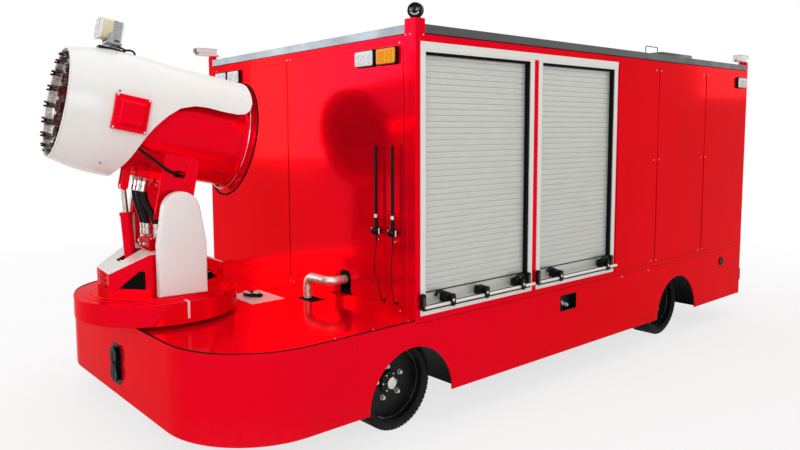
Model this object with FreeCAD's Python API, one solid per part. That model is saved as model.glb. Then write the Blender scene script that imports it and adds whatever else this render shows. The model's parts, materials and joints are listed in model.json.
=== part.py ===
import FreeCAD, Part
import math
import os
from FreeCAD import Vector

# Wheeled firefighting robot: a low flat chassis, a box body with roller shutters and, on the
# front deck, a turntable that carries a tilting smoke and water-mist fan.
# Millimetres.  +Z up, the front faces -Y, +X is the vehicle's left.  The ground is z = 0.

# ---- vehicle: driving dimensions ------------------------------------------------------
WIDTH = 2100.0
FRONT = -2233.0                 # front face of the chassis
DECK_LENGTH = 1101.0            # front face of the chassis to front wall of the body
BODY_LENGTH = 3678.0
SKIRT_BOTTOM = 180.0
DECK_TOP = 586.0
ROOF_TOP = 2028.0
CORNER_R = 457.0                # plan radius of the front corners
SKIRT_T = 4.0
FLANGE_W = 44.0                 # inward flange that carries the deck plate
FLANGE_T = 6.0
DECK_T = 8.0
SKIRT_JOINTS = (1700.0, 3100.0)     # butt joints of the left skirt's sheets, behind the front
LAST_SHEET = 579.0              # length of its last sheet, which holds the supply socket
SOCKET_REAR = 345.0             # middle of the supply socket ahead of the rear
DECK_GAP = 8.0                  # open groove between deck plate and skirt
FLOOR_T = 12.0
SEAM = 2.0                      # open seam between side skirt and body wall
WALL_T = 40.0
POST = 60.0                     # width of the corner posts of the body
POST_D = 33.0                   # their depth along the side
POST_RISE = 26.0                # how far the posts stand above the roof trim
TRIM_H = 44.0
ROOF_T = 14.0
SIDE_SEAM = 734.0               # joint of front skirt and side skirts, behind the front face

WALL_FRONT = FRONT + DECK_LENGTH
REAR = WALL_FRONT + BODY_LENGTH
HALF = WIDTH / 2
FLOOR_TOP = DECK_TOP - DECK_T - FLANGE_T
TRIM_BOTTOM = ROOF_TOP - TRIM_H
POST_TOP = ROOF_TOP + POST_RISE
SKIN = HALF - SKIRT_T           # inner face of the skirts

# ---- wheels and axles -----------------------------------------------------------------
TYRE_R = 235.0
TYRE_W = 165.0
RIM_R = 188.0                   # bead seat
RIM_T = 6.0
WHEEL_INSET = 118.0             # tyre's outer face behind the side of the body
FRONT_AXLE = 1085.0             # behind the front face
WHEELBASE = 2650.0
ARCH_ROOM = 43.0                # arch radius over tyre radius
WELL_ROOM = 60.0                # least room between tyre and floor
KINGPIN_INSET = 120.0           # kingpin axis inside the wheel's middle plane
KINGPIN_R = 14.0
SPINDLE_R = 24.0
FIT = 0.05                      # radial running clearance of pins and shafts
HUB_R = 58.0
RIM_DISC = 12.0                 # rim disc's face outside the wheel's middle plane
DISC_T = 10.0
RAIL_X = 500.0                  # middle of each frame rail
RAIL_W = 80.0
RAIL_H = 130.0
MEMBER_W = 80.0                 # cross members between the rails
MEMBER_H = 90.0
HITCH_HALF = 46.0               # tow jaw: half height, depth of its slot and reach past the skirt
HITCH_SLOT = 60.0
HITCH_OUT = 14.0
HITCH_PIN_R = 13.0
SPRING_HALF = 380.0             # half length of a leaf spring
SPRING_W = 60.0
LEAF_T = 10.0
LEAVES = 4

WHEEL_X = HALF - WHEEL_INSET - TYRE_W / 2
KINGPIN_X = WHEEL_X - KINGPIN_INSET
ARCH_R = TYRE_R + ARCH_ROOM
FRONT_AXLE_Y = FRONT + FRONT_AXLE
REAR_AXLE_Y = FRONT_AXLE_Y + WHEELBASE
RAIL_TOP = FLOOR_TOP - FLOOR_T
RAIL_BOTTOM = RAIL_TOP - RAIL_H

# ---- shutters -------------------------------------------------------------------------
SHUTTER_START = 1134.0          # front edge of the first frame, behind the chassis front
SHUTTER_W1 = 881.0
SHUTTER_W2 = 812.0
MULLION = 40.0
SHUTTER_BOTTOM = 605.0
SHUTTER_TOP = 1944.0
FRAME_W = 34.0
FRAME_SILL = 47.0
FRAME_DEPTH = 44.0
FRAME_PROUD = 3.0
CURTAIN_T = 14.0
CURTAIN_INSET = 26.0            # curtain's outer face behind the frame's face
BAR_R = 12.0
BAR_Z = 652.0
BAR_OUT = 30.0                  # bar's axis outside the frame's face
LATCH_W = 46.0

# ---- turntable ------------------------------------------------------------------------
TURRET = 227.0                  # turntable axis, behind the chassis front
TURRET_REST = -6.3              # turntable's angle as parked, degrees about +Z
DRUM_R = 410.0
DRUM_BOTTOM = 604.0
DRUM_TOP = 711.0
SLEW_R = 330.0
BEARING_GAP = 0.3
RING_R = 362.0                  # first and second plate on the drum
RING2_R = 338.0
RING_T = 6.0
BASE_FRONT = 273.0              # front face of the base housing from the turntable axis
BASE_REAR = 318.0
BASE_NOSE = 126.0               # half width at its front and rear face
BASE_HALF = 214.0               # half width at the yoke
BASE_SHOULDER = 95.0            # where the plan starts to narrow
BASE_LOW = 833.0                # top of its front and rear face
BASE_HIGH = 925.0
SHEET = 5.0
WINDOW_BACK = 45.0              # rear window further from the axis than the front one
LID_T = 4.0
LID_GAP = 0.3
BAY_GAP = 6.0                   # yoke post to the housings
SLOT_W = 84.0                   # slot in the front lid for the lift cylinder
SLOT_FROM = -196.0
SLOT_TO = -72.0

PIVOT_Y = 42.0                  # tilt axis, behind the turntable axis
PIVOT_Z = 1135.0
YOKE_X = 222.0                  # inner face of each yoke post
YOKE_T = 28.0
YOKE_HALF = 78.0
TRUNNION_R = 32.0
YOKE_BLOCK_TOP = 985.0          # valve block between the posts
COVER_X = 262.0                 # inner edge of the side covers
COVER_OUT = 315.0
COVER_HALF = 121.0
COVER_TAPER_Z = 975.0
COVER_R = 98.0
COVER_T = 4.0

# ---- fan ------------------------------------------------------------------------------
FAN_TILT = 11.7                 # nose-up angle as parked
FAN_RISE = 423.0                # fan axis above the tilt axis
FAN_REAR = 325.0                # bell's rim behind the tilt axis
FAN_NOSE = 594.0                # shroud's lip ahead of the tilt axis
DUCT_R = 262.0
DUCT_T = 5.0
BELL_R = 310.0
NOZZLE_DUCT_R = 226.0
LIP_R = 269.0
SHROUD_R = 311.0
SHROUD_T = 5.0
BRACKET_X = 196.0
BRACKET_T = 16.0
SLOT_Z = 178.0                  # cable slot in each plate above the tilt axis
BRACKET_FROM = -98.0            # front and rear edge of the plates along the fan
BRACKET_TO = 80.0
SADDLE_TO = 42.0
HOSE_BLOCK_Z = 135.0            # underside of the hose manifold above the tilt axis
HOSE_STARTS = ((-42.0, -150.0), (-4.0, -141.0), (34.0, -125.0))
HOSE_R = 17.0
CABLE_R = 8.0
# cable: left of the fan's axis, behind the tilt axis, above the fan's axis
CABLE_ROUTE = ((266.0, -304.0, -112.0), (250.0, -266.0, -140.0), (240.0, -222.0, -164.0),
               (232.0, -176.0, -186.0), (227.0, -130.0, -207.0), (226.0, -92.0, -227.0),
               (226.0, -54.0, -241.0), (212.0, -20.0, -247.0), (187.0, 5.0, -249.0),
               (155.0, 18.0, -249.0), (122.0, 18.0, -249.0))
MOTOR_R = 105.0
MOTOR_FRONT = -60.0
ROTOR_GAP = 6.0                 # rotor to the duct's wall
ROTOR_HUB_R = 100.0
BLADES = 9
VANES = 7
RING_PIPE_R = 13.0
RING_PIPE_AT = 214.0            # radius of the nozzle ring's pipe circle
NOZZLES = 18

# shroud's outline: distance behind the tilt axis and radius
SHROUD_LINE = [(-FAN_NOSE, LIP_R), (-540.0, 283.0), (-478.0, 298.0), (-400.0, 309.0), (-300.0, SHROUD_R),
               (-140.0, 308.0), (60.0, 304.0), (300.0, 306.0)]

# ---- lift cylinder --------------------------------------------------------------------
LIFT_Y = -126.0                 # lower pin, from the turntable axis
LIFT_Z = 790.0
LIFT_EYE_Y = -156.0             # upper pin as parked
LIFT_EYE_Z = 1252.0
BARREL_R = 29.0
BARREL_LEN = 292.0
ROD_R = 14.0
ROD_FROM = 130.0                # rod's lower end from the lower pin, as parked
PIN_R = 11.0
EYE_R = 19.0

# ---- water pipe, aerials, lamps -------------------------------------------------------
PIPE_R = 24.15
PIPE_X = 290.0
PIPE_Y = 989.0
PIPE_Z = 712.0
PIPE_WALL_X = 498.0
PIPE_BEND = 52.0
PIPE_HOLE_R = 50.0
AERIAL_XS = (795.0, 921.0)
AERIAL_OUT = 34.0
AERIAL_FOOT = 986.0
AERIAL_TIP = 1450.0
AERIAL_R = 4.0
LEAD_R = 2.5
GROMMET_Z = 653.0
GROMMET_XS = (822.0, 922.0)


def box(x0, x1, y0, y1, z0, z1):
    return Part.makeBox(x1 - x0, y1 - y0, z1 - z0, Vector(x0, y0, z0))


def cylinder(radius, start, end):
    a, b = Vector(*start), Vector(*end)
    return Part.makeCylinder(radius, (b - a).Length, a, b - a)


def prism(points, plane, low, high):
    """Polygon drawn in one plane and extruded along the third axis from low to high."""
    place = {
        "xy": lambda a, b: Vector(a, b, low),
        "yz": lambda a, b: Vector(low, a, b),
        "xz": lambda a, b: Vector(a, low, b),
    }[plane]
    along = {
        "xy": Vector(0, 0, high - low),
        "yz": Vector(high - low, 0, 0),
        "xz": Vector(0, high - low, 0),
    }[plane]
    corners = [place(*point) for point in points]
    return Part.Face(Part.makePolygon(corners + corners[:1])).extrude(along)


def loop(parts):
    """Closed wire from corner points; ("arc", middle) between two corners makes a round stretch."""
    edges = []
    items = parts + parts[:1]
    last, middle = items[0], None
    for item in items[1:]:
        if isinstance(item, tuple) and item[0] == "arc":
            middle = item[1]
            continue
        if middle is None:
            edges.append(Part.LineSegment(last, item).toShape())
        else:
            edges.append(Part.Arc(last, middle, item).toShape())
        last, middle = item, None
    return Part.Wire(edges)


def turned(profile, axis_z=0.0):
    """Solid of revolution about a line along Y at height axis_z; profile is (y, radius) or an arc."""
    def place(point):
        if point[0] == "arc":
            return ("arc", Vector(0, point[1][0], axis_z + point[1][1]))
        return Vector(0, point[0], axis_z + point[1])
    face = Part.Face(loop([place(point) for point in profile]))
    return face.revolve(Vector(0, 0, axis_z), Vector(0, 1, 0), 360)


def turned_x(profile, y, z):
    """Solid of revolution about a line along X through (y, z); profile is (x, radius)."""
    corners = [Vector(x, y, z + radius) for x, radius in profile]
    face = Part.Face(Part.makePolygon(corners + corners[:1]))
    return face.revolve(Vector(0, y, z), Vector(1, 0, 0), 360)


def fuse(first, *others):
    return first.fuse(list(others)).removeSplitter() if others else first


def mirrored(shape):
    return shape.mirror(Vector(0, 0, 0), Vector(1, 0, 0))


def pair(shape):
    return [shape, mirrored(shape)]


# ---- chassis --------------------------------------------------------------------------
def front_plan(inset, y_end, low, high):
    """Solid under the rounded front outline, moved in by inset, back to y_end."""
    x, y, radius = HALF - inset, FRONT + inset, CORNER_R - inset
    diagonal = radius * (1 - math.sqrt(0.5))
    wire = loop([
        Vector(-x, y_end, low), Vector(-x, y + radius, low),
        ("arc", Vector(-x + diagonal, y + diagonal, low)), Vector(-x + radius, y, low),
        Vector(x - radius, y, low),
        ("arc", Vector(x - diagonal, y + diagonal, low)), Vector(x, y + radius, low),
        Vector(x, y_end, low),
    ])
    return Part.Face(wire).extrude(Vector(0, 0, high - low))


def front_skirt():
    seam = FRONT + SIDE_SEAM
    shell = front_plan(0, seam, SKIRT_BOTTOM, DECK_TOP).cut(
        front_plan(SKIRT_T, seam + 1, SKIRT_BOTTOM - 1, DECK_TOP + 1))
    flange = front_plan(SKIRT_T - 1, seam, FLOOR_TOP, FLOOR_TOP + FLANGE_T).cut(
        front_plan(SKIRT_T + FLANGE_W, seam + 1, FLOOR_TOP - 1, DECK_TOP))
    return fuse(shell, flange).cut(hitch_window(*hitch_places()[0][1:]))


def arch_cut(y):
    return cylinder(ARCH_R, (HALF - 60, y, SKIRT_BOTTOM), (HALF + 10, y, SKIRT_BOTTOM))


def side_skirt():
    seam = FRONT + SIDE_SEAM
    front = box(SKIN, HALF, seam, WALL_FRONT, SKIRT_BOTTOM, DECK_TOP)
    flange = box(SKIN - FLANGE_W, SKIN, seam, WALL_FRONT, FLOOR_TOP, FLOOR_TOP + FLANGE_T)
    rear = box(SKIN, HALF, WALL_FRONT, REAR - SKIRT_T, SKIRT_BOTTOM, FLOOR_TOP - SEAM)
    return fuse(front, flange, rear).cut([arch_cut(FRONT_AXLE_Y), arch_cut(REAR_AXLE_Y)])


def left_skirt():
    window = box(SKIN - 1, HALF + 1, FRONT + 2300, FRONT + 2462, 432, 530)
    socket = cylinder(26, (SKIN - 1, REAR - SOCKET_REAR, 483), (HALF + 1, REAR - SOCKET_REAR, 483))
    sheet = side_skirt().cut([window, socket])
    ends = [FRONT, *(FRONT + joint for joint in SKIRT_JOINTS), REAR - LAST_SHEET, REAR]
    return [sheet.common(box(0, HALF + 1, low, high, 0, DECK_TOP + 1)) for low, high in zip(ends, ends[1:])]


def rear_skirt():
    plate = box(-HALF, HALF, REAR - SKIRT_T, REAR, SKIRT_BOTTOM, FLOOR_TOP - SEAM)
    lamps = [box(x - 92, x + 92, REAR - 10, REAR + 10, 430, 500) for x in (-820, 820)]
    return plate.cut(lamps + [hitch_window(*hitch_places()[1][1:])])


def deck_plate():
    plate = front_plan(SKIRT_T + DECK_GAP, WALL_FRONT, FLOOR_TOP + FLANGE_T, DECK_TOP)
    hole = box(PIPE_X - 42, PIPE_X + 42, FRONT + PIPE_Y - 42, FRONT + PIPE_Y + 42, 500, 700)
    return plate.cut(hole)


def wheel_room(y):
    """Space that the two wheels of an axle need."""
    inner = WHEEL_X - TYRE_W / 2 - WELL_ROOM
    return pair(cylinder(TYRE_R + WELL_ROOM, (inner, y, TYRE_R), (HALF + 1, y, TYRE_R)))


def body_floor():
    floor = box(-SKIN, SKIN, WALL_FRONT, REAR - SKIRT_T, FLOOR_TOP - FLOOR_T, FLOOR_TOP)
    return floor.cut(wheel_room(FRONT_AXLE_Y) + wheel_room(REAR_AXLE_Y))


def frame_rails():
    rail = box(RAIL_X - RAIL_W / 2, RAIL_X + RAIL_W / 2, FRONT + 60, REAR - 60, RAIL_BOTTOM, RAIL_TOP)
    return pair(rail)


def cross_member_places():
    return [FRONT + 90, FRONT + 560, FRONT_AXLE_Y + 470, (FRONT_AXLE_Y + REAR_AXLE_Y) / 2,
            REAR_AXLE_Y - 470, REAR - 574, REAR - 120]


def cross_members():
    """Tubes between the rails; the first two also carry the deck and the turntable."""
    reach = RAIL_X - RAIL_W / 2
    return [box(-reach, reach, y - MEMBER_W / 2, y + MEMBER_W / 2, RAIL_TOP - MEMBER_H, RAIL_TOP)
            for y in cross_member_places()]


# ---- body -----------------------------------------------------------------------------
def front_wall():
    wall = box(-HALF + POST, HALF - POST, WALL_FRONT, WALL_FRONT + POST_D, FLOOR_TOP, TRIM_BOTTOM)
    hole = cylinder(PIPE_HOLE_R, (PIPE_WALL_X, WALL_FRONT - 1, PIPE_Z),
                    (PIPE_WALL_X, WALL_FRONT + POST_D + 1, PIPE_Z))
    return wall.cut(hole)


def rear_wall():
    return box(-HALF + POST, HALF - POST, REAR - POST_D, REAR, FLOOR_TOP, TRIM_BOTTOM)


def shutter_spans():
    first = FRONT + SHUTTER_START
    second = first + SHUTTER_W1 + MULLION
    return ((first, first + SHUTTER_W1), (second, second + SHUTTER_W2))


def side_wall():
    wall = box(HALF - WALL_T, HALF, WALL_FRONT + POST_D, REAR - POST_D, FLOOR_TOP, TRIM_BOTTOM)
    holes = [box(HALF - WALL_T - 1, HALF + 1, a, b, SHUTTER_BOTTOM, SHUTTER_TOP) for a, b in shutter_spans()]
    return wall.cut(holes)


def corner_posts():
    posts = []
    for y in (WALL_FRONT, REAR - POST_D):
        posts += pair(box(HALF - POST, HALF, y, y + POST_D, FLOOR_TOP, POST_TOP))
    return posts


def roof_trim():
    inner = HALF - WALL_T
    sides = pair(box(inner, HALF, WALL_FRONT + POST_D, REAR - POST_D, TRIM_BOTTOM, ROOF_TOP))
    ends = [box(-HALF + POST, HALF - POST, y, y + POST_D, TRIM_BOTTOM, ROOF_TOP)
            for y in (WALL_FRONT, REAR - POST_D)]
    return sides + ends


def roof_panel():
    inner = HALF - WALL_T
    top = ROOF_TOP - 12
    panel = box(-inner, inner, WALL_FRONT + POST_D, REAR - POST_D, top - ROOF_T, top)
    hatch = box(330, 800, REAR - 1219, REAR - 579, top, top + 62)
    return fuse(panel, hatch)


def shutter_frames():
    frames = []
    outer = HALF + FRAME_PROUD
    for a, b in shutter_spans():
        low, high = SHUTTER_BOTTOM + FRAME_SILL, SHUTTER_TOP - FRAME_SILL
        whole = box(outer - FRAME_DEPTH, outer, a, b, SHUTTER_BOTTOM, SHUTTER_TOP)
        frames += pair(whole.cut(box(0, HALF + 10, a + FRAME_W, b - FRAME_W, low, high)))
    return frames


def shutters():
    curtains = []
    face = HALF + FRAME_PROUD - CURTAIN_INSET
    for a, b in shutter_spans():
        curtains += pair(box(face - CURTAIN_T, face, a + FRAME_W, b - FRAME_W,
                             SHUTTER_BOTTOM + FRAME_SILL, SHUTTER_TOP - FRAME_SILL))
    return curtains


def shutter_bars():
    bars = []
    face = HALF + FRAME_PROUD
    axis = face + BAR_OUT
    for a, b in shutter_spans():
        blocks = [box(face, axis + BAR_R + 4, y - LATCH_W / 2, y + LATCH_W / 2, BAR_Z - 26, BAR_Z - 1)
                  for y in (a + 60, (a + b) / 2, b - 60)]
        grips = [box(axis - BAR_R, axis + BAR_R, y - LATCH_W / 2, y + LATCH_W / 2, BAR_Z - 26, BAR_Z)
                 for y in (a + 60, (a + b) / 2, b - 60)]
        bar = cylinder(BAR_R, (axis, a + 30, BAR_Z), (axis, b - 30, BAR_Z))
        bars += pair(fuse(bar, *blocks, *grips))
    return bars


def power_pack():
    return box(-450, 450, REAR - 1529, REAR - 279, FLOOR_TOP, 1380)


def signal_lamps():
    """Flat lamp housings on the front wall, the side's rear end and the rear wall."""
    lamps = []
    for low in (609.0, 778.0, -919.0, -750.0):
        lamps.append(box(low, low + 165, WALL_FRONT - 30, WALL_FRONT, 1844, 1932))
    lamps += pair(box(HALF, HALF + 26, REAR - 219, REAR - 57, 1842, 1928))
    lamps += pair(box(728, 912, REAR - 30, REAR + 12, 430, 500))
    return lamps


def corner_cameras():
    x, y = HALF - 30, WALL_FRONT + 30
    dome = fuse(cylinder(34, (x, y, POST_TOP), (x, y, POST_TOP + 16)),
                box(x - 32, x + 32, y - 26, y + 26, POST_TOP + 14, POST_TOP + 62))
    cameras = [dome]
    for x, y, forward in ((-x, y, -1), (x, REAR - 30, 1), (-x, REAR - 30, 1)):
        stand = cylinder(16, (x, y, POST_TOP), (x, y, POST_TOP + 26))
        shell = cylinder(28, (x, y - 70 * forward, POST_TOP + 48), (x, y + 50 * forward, POST_TOP + 48))
        cameras.append(fuse(stand, shell))
    return cameras


def aerials():
    rods = []
    y = WALL_FRONT - AERIAL_OUT
    for x in AERIAL_XS:
        foot = cylinder(13, (x, y, AERIAL_FOOT - 34), (x, y, AERIAL_FOOT + 12))
        clamp = box(x - 16, x + 16, y, WALL_FRONT, AERIAL_FOOT - 18, AERIAL_FOOT - 4)
        rod = cylinder(AERIAL_R, (x, y, AERIAL_FOOT), (x, y, AERIAL_TIP))
        rods.append(fuse(foot, clamp, rod))
    return rods


def grommets():
    return [cylinder(12, (x, WALL_FRONT - 8, GROMMET_Z), (x, WALL_FRONT, GROMMET_Z)) for x in GROMMET_XS]


def route_tube(points, radius):
    """Tube along straight runs joined by tangent arcs, each as large as its two runs allow."""
    corners = [Vector(*point) for point in points]
    edges, here = [], corners[0]
    for before, corner, after in zip(corners, corners[1:], corners[2:]):
        back, ahead = before - corner, after - corner
        turn = math.pi - back.getAngle(ahead)
        trim = 0.45 * min(back.Length, ahead.Length)
        start = corner + back.normalize() * trim
        end = corner + ahead.normalize() * trim
        bend = trim / math.tan(turn / 2)
        middle_dir = (back + ahead).normalize()
        centre = corner + middle_dir * math.hypot(bend, trim)
        middle = centre - middle_dir * bend
        edges.append(Part.LineSegment(here, start).toShape())
        edges.append(Part.Arc(start, middle, end).toShape())
        print("bend radius", round(bend, 1))
        here = end
    edges.append(Part.LineSegment(here, corners[-1]).toShape())
    path = Part.Wire(edges)
    first = corners[1] - corners[0]
    ring = Part.Wire(Part.makeCircle(radius, corners[0], first))
    return path.makePipeShell([ring], True, True)


def aerial_lead(x_foot, x_grommet, bow):
    y = WALL_FRONT - AERIAL_OUT
    foot = AERIAL_FOOT - 34 - BEARING_GAP
    step = (foot - GROMMET_Z) / 7
    return route_tube([
        (x_foot, y, foot),
        (x_foot - 1, y - 2, foot - step),
        (x_foot + 1 - bow, y - 5, foot - 2 * step),
        (x_foot + 5 - bow * 1.3, y - 6, foot - 3 * step),
        (x_foot + 8 - bow * 1.1, y - 6, foot - 4 * step),
        (x_grommet - 8, y - 3, foot - 5 * step),
        (x_grommet - 3, y + 1, foot - 6 * step),
        (x_grommet, y + 8, GROMMET_Z),
        (x_grommet, WALL_FRONT - 8 - BEARING_GAP, GROMMET_Z),
    ], LEAD_R)


def water_pipe():
    """Bare steel pipe out of the deck, along the wall and into it."""
    y = FRONT + PIPE_Y
    start = Vector(PIPE_X, y, 520)
    corner1 = Vector(PIPE_X, y, PIPE_Z)
    corner2 = Vector(PIPE_WALL_X, y, PIPE_Z)
    end = Vector(PIPE_WALL_X, WALL_FRONT + POST_D + 4, PIPE_Z)
    arc = PIPE_BEND * (1 - math.sqrt(0.5))
    b = PIPE_BEND
    wire = Part.Wire([
        Part.LineSegment(start, corner1 - Vector(0, 0, b)).toShape(),
        Part.Arc(corner1 - Vector(0, 0, b), corner1 + Vector(arc, 0, -arc),
                 corner1 + Vector(b, 0, 0)).toShape(),
        Part.LineSegment(corner1 + Vector(b, 0, 0), corner2 - Vector(b, 0, 0)).toShape(),
        Part.Arc(corner2 - Vector(b, 0, 0), corner2 + Vector(-arc, arc, 0),
                 corner2 + Vector(0, b, 0)).toShape(),
        Part.LineSegment(corner2 + Vector(0, b, 0), end).toShape(),
    ])
    ring = Part.Wire(Part.makeCircle(PIPE_R, start, Vector(0, 0, 1)))
    flange = cylinder(70, (PIPE_WALL_X, WALL_FRONT + POST_D, PIPE_Z),
                      (PIPE_WALL_X, WALL_FRONT + POST_D + 8, PIPE_Z))
    return fuse(wire.makePipeShell([ring], True, True), flange)


def hitch_places():
    """Face of the end cross member, face of the skirt and height of each tow jaw."""
    members = cross_member_places()
    return ((members[0] - MEMBER_W / 2, FRONT, 348.0), (members[-1] + MEMBER_W / 2, REAR, 320.0))


def hitch_window(skirt_y, z):
    return box(-45, 45, skirt_y - 10, skirt_y + 10, z - 76, z + 76)


def tow_hitches():
    hitches = []
    for member_y, skirt_y, z in hitch_places():
        way = math.copysign(1, skirt_y - member_y)
        plate = box(-60, 60, min(member_y, member_y + way * 14), max(member_y, member_y + way * 14),
                    z - 80, RAIL_TOP - 10)
        tip, pin_y = skirt_y + way * HITCH_OUT, skirt_y - way * (HITCH_SLOT - HITCH_OUT) / 2
        jaw = box(-36, 36, min(member_y, tip), max(member_y, tip), z - HITCH_HALF, z + HITCH_HALF)
        slot_end = tip - way * HITCH_SLOT
        slot = box(-40, 40, min(tip, slot_end), max(tip, slot_end), z - 16, z + 16)
        bore = cylinder(HITCH_PIN_R, (0, pin_y, z - 100), (0, pin_y, z + 100))
        hitches.append(fuse(plate, jaw).cut([slot, bore]))
    return hitches


# ---- axles and wheels -----------------------------------------------------------------
def front_axle():
    z = TYRE_R
    beam = box(-KINGPIN_X + 30, KINGPIN_X - 30, FRONT_AXLE_Y - 36, FRONT_AXLE_Y + 36, z - 32, z + 32)
    solid = beam
    for side in (-1, 1):
        eye = cylinder(33, (side * KINGPIN_X, FRONT_AXLE_Y, z - 32), (side * KINGPIN_X, FRONT_AXLE_Y, z + 32))
        pad = box(side * RAIL_X - 45, side * RAIL_X + 45, FRONT_AXLE_Y - 60, FRONT_AXLE_Y + 60,
                  z + 32, z + 40)
        solid = fuse(solid, eye, pad)
    bore = cylinder(KINGPIN_R + FIT, (KINGPIN_X, FRONT_AXLE_Y, z - 90), (KINGPIN_X, FRONT_AXLE_Y, z + 90))
    return solid.cut(pair(bore))


def left_knuckle():
    """Fork round the axle eye, kingpin and spindle, with the steering arm behind."""
    z, y, x = TYRE_R, FRONT_AXLE_Y, KINGPIN_X
    ears = [box(x - 26, x + 52, y - 26, y + 26, z + 34, z + 52),
            box(x - 26, x + 52, y - 26, y + 26, z - 52, z - 34)]
    web = box(x + 40, x + 56, y - 40, y + 40, z - 52, z + 52)
    pin = cylinder(KINGPIN_R, (x, y, z - 60), (x, y, z + 60))
    spindle = cylinder(SPINDLE_R, (x + 50, y, z), (WHEEL_X + RIM_DISC + 14, y, z))
    arm = box(x - 14, x + 14, y + 20, y + 150, z - 52, z - 36)
    return fuse(ears[0], ears[1], web, pin, spindle, arm)


def track_rod():
    top, y = TYRE_R - 52 - BEARING_GAP, FRONT_AXLE_Y + 136
    rod = cylinder(14, (-KINGPIN_X, y, top - 20), (KINGPIN_X, y, top - 20))
    ends = [cylinder(18, (x, y, top - 36), (x, y, top)) for x in (-KINGPIN_X, KINGPIN_X)]
    return fuse(rod, *ends)


def rear_axle():
    z, y = TYRE_R, REAR_AXLE_Y
    tube = cylinder(45, (-WHEEL_X + 80, y, z), (WHEEL_X - 80, y, z))
    case = cylinder(120, (-90, y, z), (90, y, z))
    solid = fuse(tube, case)
    for side in (-1, 1):
        pad = box(side * RAIL_X - 45, side * RAIL_X + 45, y - 60, y + 60, z, z + 52)
        spindle = cylinder(SPINDLE_R, (side * (WHEEL_X - 90), y, z), (side * (WHEEL_X + RIM_DISC + 14), y, z))
        solid = fuse(solid, pad, spindle)
    return solid


def leaf_spring(y, pad_top):
    """Pack of leaves whose ends rise to brackets under the rail."""
    rise = RAIL_BOTTOM - 34 - pad_top
    pack = None
    for leaf in range(LEAVES):
        half = SPRING_HALF * (1 - 0.2 * leaf)
        low = pad_top + LEAF_T * (LEAVES - 1 - leaf)
        lift = max(rise - LEAF_T * LEAVES, 8) * (half / SPRING_HALF) ** 2
        wire = loop([
            Vector(RAIL_X - SPRING_W / 2, y - half, low + lift),
            ("arc", Vector(RAIL_X - SPRING_W / 2, y, low)),
            Vector(RAIL_X - SPRING_W / 2, y + half, low + lift),
            Vector(RAIL_X - SPRING_W / 2, y + half, low + lift + LEAF_T),
            ("arc", Vector(RAIL_X - SPRING_W / 2, y, low + LEAF_T)),
            Vector(RAIL_X - SPRING_W / 2, y - half, low + lift + LEAF_T),
        ])
        solid = Part.Face(wire).extrude(Vector(SPRING_W, 0, 0))
        pack = solid if pack is None else pack.fuse(solid)
    for end in (-1, 1):
        eye_y = y + end * SPRING_HALF
        hanger = box(RAIL_X - SPRING_W / 2, RAIL_X + SPRING_W / 2, eye_y - 22, eye_y + 22,
                     pad_top + max(rise - LEAF_T * LEAVES, 8) + 20, RAIL_BOTTOM)
        pack = pack.fuse(hanger)
    return pack.removeSplitter()


def leaf_springs():
    return pair(leaf_spring(FRONT_AXLE_Y, TYRE_R + 40)) + pair(leaf_spring(REAR_AXLE_Y, TYRE_R + 52))


def tyre(x, y):
    half, shoulder = TYRE_W / 2, 26
    side = 1 if x > 0 else -1
    profile = [(-half + 10, RIM_R), (-half, RIM_R + 16), (-half, TYRE_R - shoulder),
               (-half + 10, TYRE_R - 8), (-half + shoulder, TYRE_R), (half - shoulder, TYRE_R),
               (half - 10, TYRE_R - 8), (half, TYRE_R - shoulder), (half, RIM_R + 16), (half - 10, RIM_R)]
    return turned_x([(x + side * a, r) for a, r in profile], y, TYRE_R)


def rim(x, y):
    """Deep-dish steel rim: barrel with its disc near the middle and a hub on the spindle."""
    side = 1 if x > 0 else -1
    half = TYRE_W / 2 - 10
    inner = RIM_R - RIM_T
    face = RIM_DISC
    profile = [(-half, RIM_R), (half, RIM_R), (half, inner), (face, inner), (face, HUB_R),
               (face + 16, HUB_R), (face + 16, SPINDLE_R + FIT), (face - 42, SPINDLE_R + FIT),
               (face - 42, HUB_R), (face - DISC_T, HUB_R), (face - DISC_T, inner), (-half, inner)]
    return turned_x([(x + side * a, r) for a, r in profile], y, TYRE_R)


# ---- turntable ------------------------------------------------------------------------
def on_turntable(shape):
    """Turn a shape drawn about the turntable axis to its parked angle and seat it on the deck."""
    out = shape.copy()
    out.rotate(Vector(0, 0, 0), Vector(0, 0, 1), TURRET_REST)
    out.translate(Vector(0, FRONT + TURRET, 0))
    return out


def on_fan(shape):
    """Tilt a shape drawn level about the tilt axis to its parked angle, then place it."""
    out = shape.copy()
    out.rotate(Vector(0, 0, 0), Vector(1, 0, 0), -FAN_TILT)
    out.translate(Vector(0, PIVOT_Y, PIVOT_Z))
    return on_turntable(out)


def slew_ring():
    y = FRONT + TURRET
    return cylinder(SLEW_R, (0, y, DECK_TOP), (0, y, DRUM_BOTTOM - BEARING_GAP))


def turntable_drum():
    drum = cylinder(DRUM_R, (0, 0, DRUM_BOTTOM), (0, 0, DRUM_TOP))
    rings = [cylinder(RING_R, (0, 0, DRUM_TOP), (0, 0, DRUM_TOP + RING_T)),
             cylinder(RING2_R, (0, 0, DRUM_TOP), (0, 0, DRUM_TOP + 2 * RING_T))]
    return on_turntable(fuse(drum, *rings))


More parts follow.
